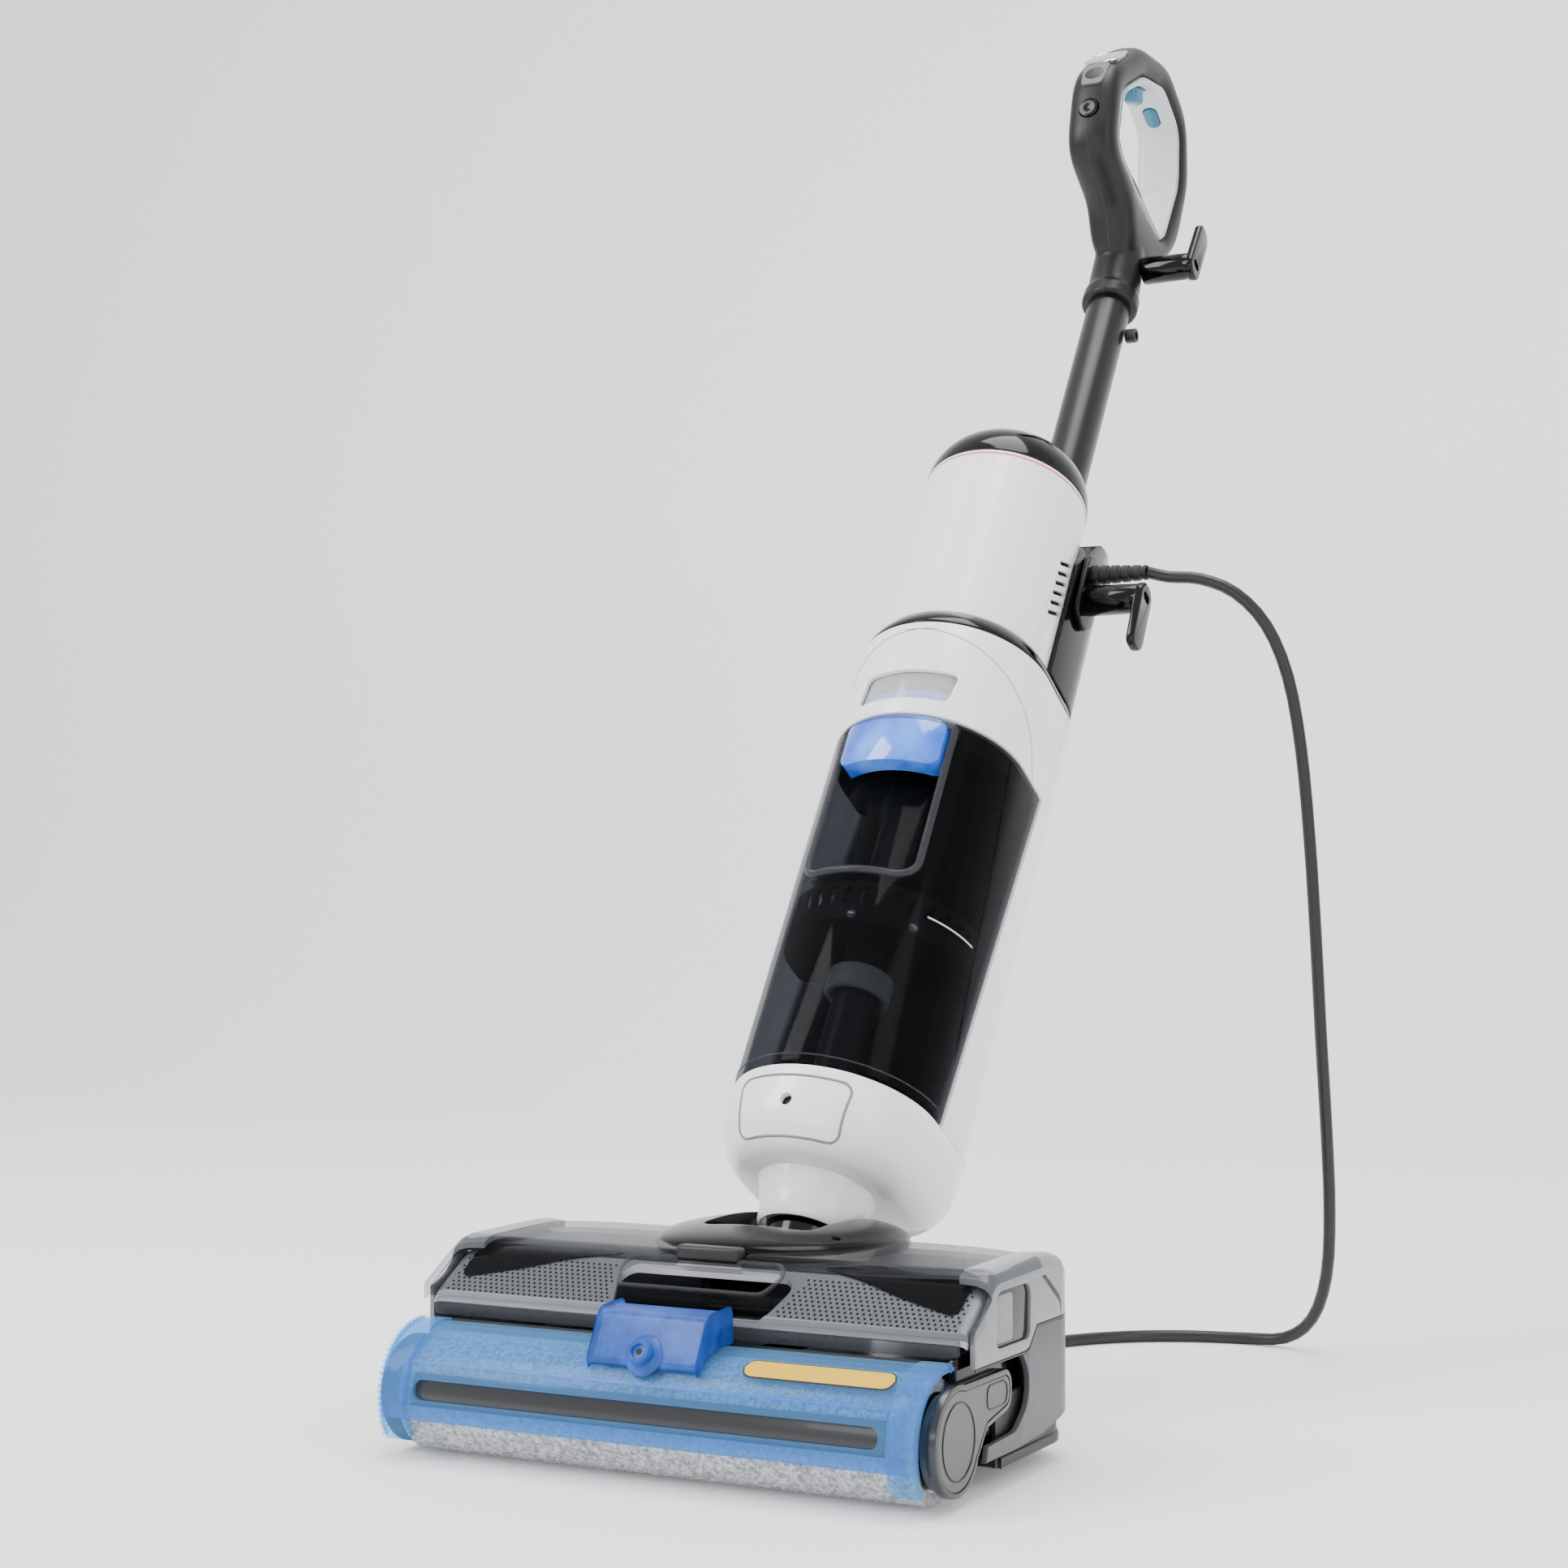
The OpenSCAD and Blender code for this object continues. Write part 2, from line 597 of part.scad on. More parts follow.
// ---- Wand and handle ----
module wand() color("#3b3c3f") at_body() translate([0, wand_off, s_house + 40]) difference() {
    cylinder(h = s_wand + 10 - s_house - 40, r = wand_r - run);
    translate([0, 0, -1]) cylinder(h = big, r = wand_r - 1.6);
}
// Handle outlines are (y, z) pairs from the wand's axis and the wand's top
module handle_outer() translate([wand_off, s_wand]) polygon(rounded([[-17, 24, 10], [-38, 48, 26],
    [-86, 53, 24], [-104, 108, 34], [-74, 162, 30], [-32, 190, 36], [14, 188, 30], [42, 150, 40],
    [48, 92, 40], [17, 38, 24]]));
module handle_opening(inset) translate([wand_off, s_wand]) offset(delta = -inset)
    polygon(rounded([[-68, 70, 16], [-82, 106, 26], [-58, 146, 26], [-30, 167, 16], [6, 166, 18],
        [25, 132, 30], [23, 76, 9]]));
module handle_shell() color("#333437") at_body() difference() {
    union() {
        across(grip_w) handle_outer();
        translate([0, wand_off, s_wand - 6]) cylinder(h = 44, r = wand_r + 2.9);
        translate([0, wand_off, s_wand - 6]) cylinder(h = 12, r = wand_r + 4.5);
    }
    across(big) handle_opening(0);
    translate([0, wand_off, s_wand - 10]) cylinder(h = 20 + tiny, r = wand_r);
    lens_block(gap);
    mode_block(gap, 2);
    rinse_block(gap, 2);
    trigger_block(gap, 5);
}
// A place on the handle's outline, with local Z pointing out of the bar
module on_grip(y, z, angle) translate([0, wand_off + y, s_wand + z]) rotate([angle, 0, 0]) children();
module lens_block(g) on_grip(-91, 131, 60) translate([0, 0, -6 - g]) linear_extrude(7 + g)
    offset(delta = g) polygon(rounded([[-11, -15, 7], [11, -15, 7], [11, 15, 7], [-11, 15, 7]]));
module mode_block(g, deep = 0) on_grip(-95, 80, 108) translate([0, 0, -7 - g - deep])
    cylinder(h = 8 + g + deep, r = 6.5 + g);
module rinse_block(g, deep = 0) on_grip(-10, 166.5, -2)
    box(-4.5 - g, 4.5 + g, -8 - g, 8 + g, -4.5, 4 + g + deep);
module trigger_block(g, deep = 0) on_grip(-46, 155, 37)
    box(-6.5 - g, 6.5 + g, -9 - g, 9 + g, -12, 6 + g + deep);
module handle_liner() color("#c9cacc") at_body() difference() {
    across(grip_w - 3) handle_opening(0.2);
    across(big) handle_opening(2.6);
    rinse_block(gap);
    trigger_block(gap);
}
module display_lens() color("#0a0a0c") at_body() lens_block(0);
module mode_button() color("#2e2f32") at_body() mode_block(0);
module rinse_button() color("#2a8fae") at_body() rinse_block(0);
module steam_trigger() color("#2f6f9c") at_body() trigger_block(0);

module cord_clip() color("#1a1a1b") at_body()
    translate([wand_r + 3.6, wand_off + 6, s_wand - 26]) rotate([0, 90, 0]) difference() {
        cylinder(h = 6.8, r = 4.5, center = true);
        cylinder(h = 20, r = 2.6, center = true);
    }
// Stem along X with a flat blade at its end; up is 1 or -1
module cord_hook(x0, b, s, up) translate([x0, b, s]) {
    rotate([0, 90, 0]) cylinder(h = hook_len, r = hook_r);
    translate([hook_len - tiny, 0, 0]) rotate([90, 0, 90]) linear_extrude(5)
        polygon(rounded([[-9, -9 * up, 8], [9, -9 * up, 8], [11, 34 * up, 8], [-5, 34 * up, 5]]));
}
module upper_hook() color("#141415") at_body() cord_hook(wand_r + 3.1, wand_off + 3, neck_hook_s, 1);
module lower_hook() color("#141415") at_body() {
    cord_hook(spine_r + 4, hook_b, hook_s, -1);
    translate([spine_r + gap, hook_b, hook_s]) rotate([90, 0, 90]) linear_extrude(4 - gap + tiny)
        polygon(rounded([[-12, -18, 11], [12, -18, 11], [12, 30, 11], [-12, 30, 11]]));
}

// ---- Cord ----
// Where the cord leaves the body at rest
exit_at = [spine_r + 4 + boot_len, neck_y - wiper_y + exit_s * sin(lean) + hook_b * cos(lean),
    neck_z + exit_s * cos(lean) - hook_b * sin(lean)];
// The cord's route from the end of the strain relief to the coil
route = [[98, 347, 445], [116, 348, 443], [136, 350, 434], [153, 353, 415], [164, 357, 386],
    [170, 361, 346], [173, 366, 296], [175, 370, 240], [176, 375, 184], [177, 381, 130],
    [176, 389, 84], [171, 399, 47], [159, 411, 20], [140, 420, 6], [114, 422, 3.5], [86, 415, 3.5],
    [60, 401, 3.5], [38, 380, 3.5], [22, 355, 3.5], [13, 328, 3.5], [9.4, 302, 3.5], [8.5, 280, 3.5]];
// From the coil's top turn down to the plug's boot, from plug_at
tail = [[0, -60, 24.8], [0, -52, 24.4], [0, -44, 21.4], [0, -34, 15], [0, -26, 11.3], [0, -18, 10.5]];
function dir_at(p, i) = unit(p[min(i + 1, len(p) - 1)] - p[max(i - 1, 0)]);
function ring_at(p, i, r, n) = let (d = dir_at(p, i), u = unit(cross(d, [0.3, 0.9, 0.2])), v = cross(d, u))
    [for (k = [0:n - 1]) p[i] + r * (cos(360 * k / n) * u + sin(360 * k / n) * v)];
// A tube through the points p, closed at both ends
module sweep(p, r, n) {
    rings = [for (i = [0:len(p) - 1]) each ring_at(p, i, r, n)];
    last = (len(p) - 1) * n;
    polyhedron(rings, concat(
        [[for (k = [0:n - 1]) k]],
        [for (i = [0:len(p) - 2]) for (k = [0:n - 1])
            [i * n + k, (i + 1) * n + k, (i + 1) * n + (k + 1) % n, i * n + (k + 1) % n]],
        [[for (k = [n - 1:-1:0]) last + k]]));
}
// Catmull-Rom points between the hand-set ones
function blend(a, b, c, d, t) = 0.5 * (2 * b + (c - a) * t + (2 * a - 5 * b + 4 * c - d) * t * t
    + (3 * b - a - 3 * c + d) * t * t * t);
function smooth(p, n) = [for (i = [0:len(p) - 2]) for (k = [0:n - 1])
    blend(p[max(i - 1, 0)], p[i], p[i + 1], p[min(i + 2, len(p) - 1)], k / n), p[len(p) - 1]];

module strain_relief() color("#18181a") at_body() translate([spine_r + 4, hook_b, exit_s])
    rotate([0, 90, 0]) difference() {
        cylinder(h = boot_len, r1 = boot_r, r2 = cord_r + 0.8);
        translate([0, 0, boot_len - 4]) cylinder(h = 5, r = cord_r + 0.2);
    }
module cord_lead() color("#101010")
    sweep(smooth(concat([exit_at - [3.9, 0, 0], exit_at], route), 3), cord_r, 8);
module cord_coil() color("#101010") translate([coil_at[0], coil_at[1], 0]) rotate_extrude()
    translate([coil_mid - coil_wide, 0]) square([2 * coil_wide, coil_high]);
// The plug lies behind the coil, where the top turn's tangent comes down
module plug() color("#101010") translate([plug_at[0], plug_at[1], 0]) {
    box(-14, 14, 0, 34, 0, 21);
    translate([0, tiny, plug_cord_z]) rotate([90, 0, 0]) cylinder(h = 24, r1 = 8, r2 = cord_r + 0.8);
    for (x = [-6.5, 6.5]) box(x - 0.8, x + 0.8, 34 - tiny, 50, 7.5, 13.5);
    sweep(tail, cord_r, 8);
}

base_pan();
roller_bay();
wiper_blade();
lower_shell();
side_trims();
top_cover();
inner_panel();
bumper_strip();
saddle();
cover_latch();
boiler();
suction_duct();
drive_motor();
motor_pulley();
drive_belt();
drive_hub();
wheel_axles();
rear_wheel_left();
rear_wheel_right();
hinge_pin();
roller_cover();
steam_box();
steam_nozzle();
roller_core();
roller_pile();
end_cap();
end_cap_inlay();
neck_yoke();
swivel_sleeve();
lower_cup();
back_frame();
dirty_tank();
tank_lid();
release_button();
filter_basket();
float_ball();
tank_pipe();
collar();
clean_tank();
clean_tank_cover();
clean_water();
gloss_ring();
motor_housing();
dome_cap();
suction_motor();
spine();
wand();
handle_shell();
handle_liner();
display_lens();
mode_button();
steam_trigger();
rinse_button();
cord_clip();
upper_hook();
lower_hook();
strain_relief();
cord_lead();
cord_coil();
plug();
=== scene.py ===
# %% [markdown]
# A corded steam floor washer stands on its roller and its rear wheels and leans back on its neck.
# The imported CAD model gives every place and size.  This lesson dresses it: each visible piece is
# built again with its real curves, wall and finish, and rides on the CAD body it belongs to.
# We work in millimetres inside the helpers and turn them into metres when a mesh is made.

# %% Load the frame
import json
import math
import bmesh
import bpy
import numpy as np
from mathutils import Matrix, Vector


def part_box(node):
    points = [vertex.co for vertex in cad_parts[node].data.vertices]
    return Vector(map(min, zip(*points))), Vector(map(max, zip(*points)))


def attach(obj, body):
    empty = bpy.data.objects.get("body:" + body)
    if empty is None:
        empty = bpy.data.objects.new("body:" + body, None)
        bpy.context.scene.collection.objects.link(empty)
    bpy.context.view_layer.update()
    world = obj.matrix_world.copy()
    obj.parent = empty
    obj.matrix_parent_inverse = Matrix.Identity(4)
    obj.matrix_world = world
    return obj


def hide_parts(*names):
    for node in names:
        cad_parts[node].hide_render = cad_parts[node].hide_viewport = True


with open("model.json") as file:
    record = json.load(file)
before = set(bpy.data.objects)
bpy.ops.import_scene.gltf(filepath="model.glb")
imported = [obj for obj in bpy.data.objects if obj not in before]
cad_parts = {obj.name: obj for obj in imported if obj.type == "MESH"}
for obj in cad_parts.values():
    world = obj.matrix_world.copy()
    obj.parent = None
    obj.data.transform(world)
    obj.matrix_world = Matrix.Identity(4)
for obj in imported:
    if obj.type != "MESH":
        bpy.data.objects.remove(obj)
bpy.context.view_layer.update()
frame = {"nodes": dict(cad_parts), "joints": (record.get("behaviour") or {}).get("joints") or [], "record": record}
MM = 0.001

# %% [markdown]
# Two local frames keep the shapes simple.  ROLLER has its origin on the floor under the roller's
# axis.  BODY has its origin at the neck hinge and its Z along the leaning body, so every ring of
# the body is a flat outline at one station.

# %% Local frames
joints = {j["name"]: j for j in frame["joints"]}
swivel = joints["neck_swivel"]
LEAN = math.atan2(swivel["axis"][1], swivel["axis"][2])
low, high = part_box("roller_pile")
ROLLER = Matrix.Translation((0, (low.y + high.y) / 2, 0))
BODY = Matrix.Translation(swivel["pos_m"]) @ Matrix.Rotation(-LEAN, 4, "X")


def span(node, place):
    """A CAD node's lowest and highest corners in a local frame, in millimetres."""
    inverse = place.inverted()
    points = np.array([inverse @ v.co for v in frame["nodes"][node].data.vertices]) / MM
    return points.min(0), points.max(0)


ROLLER_R = (high.z - low.z) / 2 / MM
ROLLER_HALF = (high.x - low.x) / 2 / MM
S_CUP = span("lower_cup", BODY)[0][2]
S_TANK, TANK_TOP = span("dirty_tank", BODY)[0][2], span("dirty_tank", BODY)[1][2]
S_COLLAR, S_RING = span("collar", BODY)[0][2], span("collar", BODY)[1][2]
S_HOUSE, S_DOME = span("motor_housing", BODY)[0][2], span("motor_housing", BODY)[1][2]
HOUSE_R = span("motor_housing", BODY)[1][0]
BODY_R, BODY_BACK = span("collar", BODY)[1][0], span("clean_tank_cover", BODY)[1][1]
WAND_B = (span("wand", BODY)[0][1] + span("wand", BODY)[1][1]) / 2
WAND_R = span("wand", BODY)[1][0]
S_WAND = span("wand", BODY)[1][2] - 10
print("lean", round(math.degrees(LEAN), 1), "stations", S_CUP, S_TANK, S_COLLAR, S_RING, S_HOUSE, S_DOME,
      S_WAND)

# %% [markdown]
# The camera stands low in front and to the right of the head, about one and a quarter metres
# away, and looks very slightly upwards.  Its turn is put together from the right, up and back
# directions of its picture.

# %% Camera
CAMERA_AT = Vector((0.600, -1.063, 0.254))
AZIMUTH, PITCH, ROLL = (math.radians(a) for a in (28.077, -2.782, 0.09))
right = Vector((math.cos(AZIMUTH), math.sin(AZIMUTH), 0))
level = Vector((-math.sin(AZIMUTH), math.cos(AZIMUTH), 0))
ahead = level * math.cos(PITCH) - Vector((0, 0, 1)) * math.sin(PITCH)
above = level * math.sin(PITCH) + Vector((0, 0, 1)) * math.cos(PITCH)
side = right * math.cos(ROLL) + above * math.sin(ROLL)
upward = above * math.cos(ROLL) - right * math.sin(ROLL)
camera_data = bpy.data.cameras.new("camera")
camera_data.sensor_width = 36
camera_data.lens = 59.63
camera = bpy.data.objects.new("camera", camera_data)
bpy.context.scene.collection.objects.link(camera)
turn = Matrix((side, upward, -ahead)).transposed().to_4x4()
camera.matrix_world = Matrix.Translation(CAMERA_AT) @ turn
bpy.context.scene.camera = camera
print("camera at", tuple(CAMERA_AT))

# %% [markdown]
# Shape helpers.  Most moulded pieces are skins over a stack of closed outlines, so one function
# joins rings to a mesh, and another makes the outlines from a few corners with radii.  A slab with
# rounded edges is the same outline drawn in at both faces.

# %% Outlines
def arc(cx, cy, radius, start, end, count):
    """Points on an arc, angles in degrees."""
    return [(cx + radius * math.cos(math.radians(a)), cy + radius * math.sin(math.radians(a)))
            for a in np.linspace(start, end, count)]


def rounded(corners, count=8):
    """A closed outline from (x, y, radius) corners."""
    points = []
    for i, (x, y, radius) in enumerate(corners):
        here = np.array([x, y], float)
        a = np.array(corners[i - 1][:2], float) - here
        b = np.array(corners[(i + 1) % len(corners)][:2], float) - here
        a, b = a / np.linalg.norm(a), b / np.linalg.norm(b)
        half = math.acos(np.clip(a @ b, -1, 1)) / 2
        centre = here + (a + b) / np.linalg.norm(a + b) * radius / math.sin(half)
        first, last = here + a * radius / math.tan(half) - centre, here + b * radius / math.tan(half) - centre
        start, stop = math.atan2(first[1], first[0]), math.atan2(last[1], last[0])
        turned = (stop - start + math.pi) % (2 * math.pi) - math.pi
        for t in np.linspace(0, 1, count + 1):
            points.append(tuple(centre + radius * np.array([math.cos(start + turned * t),
                                                            math.sin(start + turned * t)])))
    return points


def drawn_in(outline, inset):
    """The outline moved inwards by inset, for one that runs anticlockwise."""
    p = np.array(outline, float)
    ahead_, behind = np.roll(p, -1, 0) - p, p - np.roll(p, 1, 0)
    u = ahead_ / np.maximum(np.linalg.norm(ahead_, axis=1, keepdims=True), 1e-9)
    v = behind / np.maximum(np.linalg.norm(behind, axis=1, keepdims=True), 1e-9)
    n = np.stack([-(u + v)[:, 1], (u + v)[:, 0]], 1)
    n /= np.maximum(np.linalg.norm(n, axis=1, keepdims=True), 1e-9)
    lean = np.maximum(np.abs((n * np.stack([-u[:, 1], u[:, 0]], 1)).sum(1)), 0.5)
    return [tuple(q) for q in p + n * (inset / lean)[:, None]]


def stepped(outline, count):
    """The outline with count even steps on each of its sides."""
    return [((1 - t) * a[0] + t * b[0], (1 - t) * a[1] + t * b[1])
            for a, b in zip(outline, outline[1:] + outline[:1])
            for t in np.linspace(0, 1, count, endpoint=False)]


def edge_steps(low_, high_, radius, count=5):
    """(height, inset) pairs up a wall whose two edges are rounded by radius."""
    turns = np.linspace(0, math.pi / 2, count)
    foot = [(low_ + radius * (1 - math.sin(t)), radius * (1 - math.cos(t))) for t in turns[::-1]]
    head = [(high_ - radius * (1 - math.sin(t)), radius * (1 - math.cos(t))) for t in turns]
    return foot + head


# %% [markdown]
# Mesh helpers.  A piece is made in a local frame, welded, given its bevel, its finish and the body
# it rides on.  Booleans cut one piece with another and are applied at once.

# %% Meshes
WELD = 2e-6
SIDES = ((-1, "left"), (1, "right"))


def solid(name, parts, place):
    """A plain mesh object from one (vertices, faces) pair in a local frame, in millimetres."""
    mesh = bpy.data.meshes.new(name)
    mesh.from_pydata([tuple(place @ (Vector(v) * MM)) for v in parts[0]], [], parts[1])
    bm = bmesh.new()
    bm.from_mesh(mesh)
    bmesh.ops.remove_doubles(bm, verts=bm.verts, dist=WELD)
    bmesh.ops.recalc_face_normals(bm, faces=bm.faces)
    bm.to_mesh(mesh)
    bm.free()
    piece = bpy.data.objects.new(name, mesh)
    bpy.context.scene.collection.objects.link(piece)
    return piece


def placed(name, vertices, faces, finish, place, body, replaces=(), bevel=0.0, crease=32):
    """A named mesh object in the row frame that rides on a CAD body."""
    piece = solid(name, (vertices, faces), place)
    soften(piece, bevel, crease)
    return dress(piece, finish, body, replaces)


def dress(piece, finish, body, replaces=()):
    """Gives a piece its finish and its body, and hides the CAD nodes it stands for."""
    piece.data.materials.clear()
    piece.data.materials.append(FINISHES[finish])
    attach(piece, body)
    if replaces:
        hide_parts(*replaces)
    return piece


def soften(piece, bevel, crease=32):
    """Bevels the sharp edges by bevel millimetres and shades the rest smooth."""
    mesh = piece.data
    if bevel:
        bm = bmesh.new()
        bm.from_mesh(mesh)
        sharp = [e for e in bm.edges if len(e.link_faces) == 2
                 and e.calc_face_angle(0) > math.radians(crease)]
        bmesh.ops.bevel(bm, geom=sharp, offset=bevel * MM, segments=2, profile=0.6, affect="EDGES",
                        clamp_overlap=True)
        bm.to_mesh(mesh)
        bm.free()
    mesh.polygons.foreach_set("use_smooth", [True] * len(mesh.polygons))
    mesh.set_sharp_from_angle(angle=math.radians(crease))


def skin(rings, closed=False):
    """Vertices and faces over a stack of rings with the same number of points."""
    count, vertices = len(rings[0]), [tuple(p) for ring in rings for p in ring]
    pairs = len(rings) if closed else len(rings) - 1
    faces = [(i * count + k, i * count + (k + 1) % count, (i + 1) % len(rings) * count + (k + 1) % count,
              (i + 1) % len(rings) * count + k) for i in range(pairs) for k in range(count)]
    if not closed:
        faces += [tuple(range(count))[::-1], tuple((len(rings) - 1) * count + k for k in range(count))]
    return vertices, faces


def slab(outline, low_, high_, radius, axis="z"):
    """Rings of an outline pulled through low_ to high_ along an axis, with rounded edges."""
    rings = []
    for height, inset in edge_steps(low_, high_, radius):
        flat = drawn_in(outline, inset)
        rings.append([{"x": (height, a, b), "y": (a, height, b), "z": (a, b, height)}[axis] for a, b in flat])
    return skin(rings)


def turned(profile, count=96, axis="z", centre=(0, 0)):
    """A closed profile of (radius, height) pairs turned round an axis."""
    rings = []
    for k in range(count):
        c, s = math.cos(2 * math.pi * k / count), math.sin(2 * math.pi * k / count)
        if axis == "z":
            rings.append([(centre[0] + r * c, centre[1] + r * s, h) for r, h in profile])
        else:
            rings.append([(h, centre[0] + r * c, centre[1] + r * s) for r, h in profile])
    return skin(rings, closed=True) if profile_is_ring(profile) else turned_solid(profile, rings)


def profile_is_ring(profile):
    """Whether a profile stays off the axis."""
    return min(r for r, _ in profile) > 1e-6


def turned_solid(profile, rings):
    """The same for a profile that starts and ends on the axis."""
    vertices, count, n = [tuple(p) for ring in rings for p in ring], len(rings), len(profile)
    faces = []
    for k in range(count):
        for i in range(n - 1):
            quad = (k * n + i, (k + 1) % count * n + i, (k + 1) % count * n + i + 1, k * n + i + 1)
            faces.append(quad)
    return vertices, [f for f in faces if len({tuple(np.round(vertices[i], 6)) for i in f}) > 2]


def pipe(points, radius, count=16, closed=False):
    """A round bar along points; radius is one number or one for each point."""
    p = np.array(points, float)
    radii = np.broadcast_to(np.array(radius, float), (len(p),))
    step = np.roll(p, -1, 0) - np.roll(p, 1, 0)
    if not closed:
        step[0], step[-1] = p[1] - p[0], p[-1] - p[-2]
    step /= np.linalg.norm(step, axis=1, keepdims=True)
    guide = np.array([0.3, 0.9, 0.2])
    if abs(step[0] @ guide) >= 0.85:
        guide = np.array([1.0, 0, 0])
    rings = []
    for centre, direction, r in zip(p, step, radii):
        u = guide - direction * (guide @ direction)
        u /= np.linalg.norm(u)
        guide = u
        v = np.cross(direction, u)
        rings.append([tuple(centre + r * (math.cos(a) * u + math.sin(a) * v))
                      for a in np.linspace(0, 2 * math.pi, count, endpoint=False)])
    return skin(rings, closed)


def joined(*parts):
    """Several (vertices, faces) pairs as one."""
    vertices, faces = [], []
    for v, f in parts:
        faces += [tuple(i + len(vertices) for i in face) for face in f]
        vertices += list(v)
    return vertices, faces


def curve_through(points, count):
    """A smooth line through given points, count steps to each stretch."""
    p = [Vector(q) for q in points]
    line = []
    for i in range(len(p) - 1):
        a, b, c, d = p[max(i - 1, 0)], p[i], p[i + 1], p[min(i + 2, len(p) - 1)]
        for t in np.linspace(0, 1, count, endpoint=False):
            line.append(0.5 * (2 * b + (c - a) * t + (2 * a - 5 * b + 4 * c - d) * t * t
                               + (3 * b - a - 3 * c + d) * t ** 3))
    return line + [p[-1]]


def carved(piece, cutters, place, how="DIFFERENCE", bevel=0.0, crease=32):
    """Cuts the (vertices, faces) cutters out of a piece and softens the new edges."""
    tools = [solid("cutter", parts, place) for parts in cutters]
    for tool in tools:
        modifier = piece.modifiers.new("cut", "BOOLEAN")
        modifier.operation, modifier.solver, modifier.object = how, "EXACT", tool
    baked(piece)
    for tool in tools:
        bpy.data.objects.remove(tool)
    soften(piece, bevel, crease)
    return piece


def baked(piece):
    """Replaces a piece's mesh with what its modifiers make of it."""
    bpy.context.view_layer.update()
    evaluated = piece.evaluated_get(bpy.context.evaluated_depsgraph_get())
    mesh = bpy.data.meshes.new_from_object(evaluated)
    piece.modifiers.clear()
    old, piece.data = piece.data, mesh
    bpy.data.meshes.remove(old)
    return piece


def block(x0, x1, y0, y1, z0, z1, radius=1.0, axis="z"):
    """A box with rounded edges along every side; the corners are a little rounder than the rims."""
    if axis == "x":
        return slab(rounded([(y0, z0, 1.4 * radius), (y1, z0, 1.4 * radius), (y1, z1, 1.4 * radius),
                             (y0, z1, 1.4 * radius)], 3), x0, x1, radius, "x")
    corner = 1.4 * radius
    return slab(rounded([(x0, y0, corner), (x1, y0, corner), (x1, y1, corner), (x0, y1, corner)], 3), z0,
                z1, radius)


print("helpers ready")

# %% [markdown]
# Finishes.  Moulded gloss and satin plastics are one Principled shader each, with a faint noise in
# the roughness so that highlights break up.  Clear plastics mix that shader with a Transparent one
# by how far the surface turns away: face on you look through the wall, at a glancing angle it turns
# glossy.

# %% Finish helpers
def tone(code):
    """An sRGB hex colour as linear RGBA."""
    channels = [int(code[i:i + 2], 16) / 255 for i in (1, 3, 5)]
    return (*[c / 12.92 if c <= 0.04045 else ((c + 0.055) / 1.055) ** 2.4 for c in channels], 1)


def add(tree, kind, **settings):
    """Adds a node and sets its properties or, by name, its input values."""
    node = tree.nodes.new(kind)
    for key, value in settings.items():
        if hasattr(node, key):
            setattr(node, key, value)
        else:
            node.inputs[key.replace("_", " ")].default_value = value
    return node


FINISHES = {}


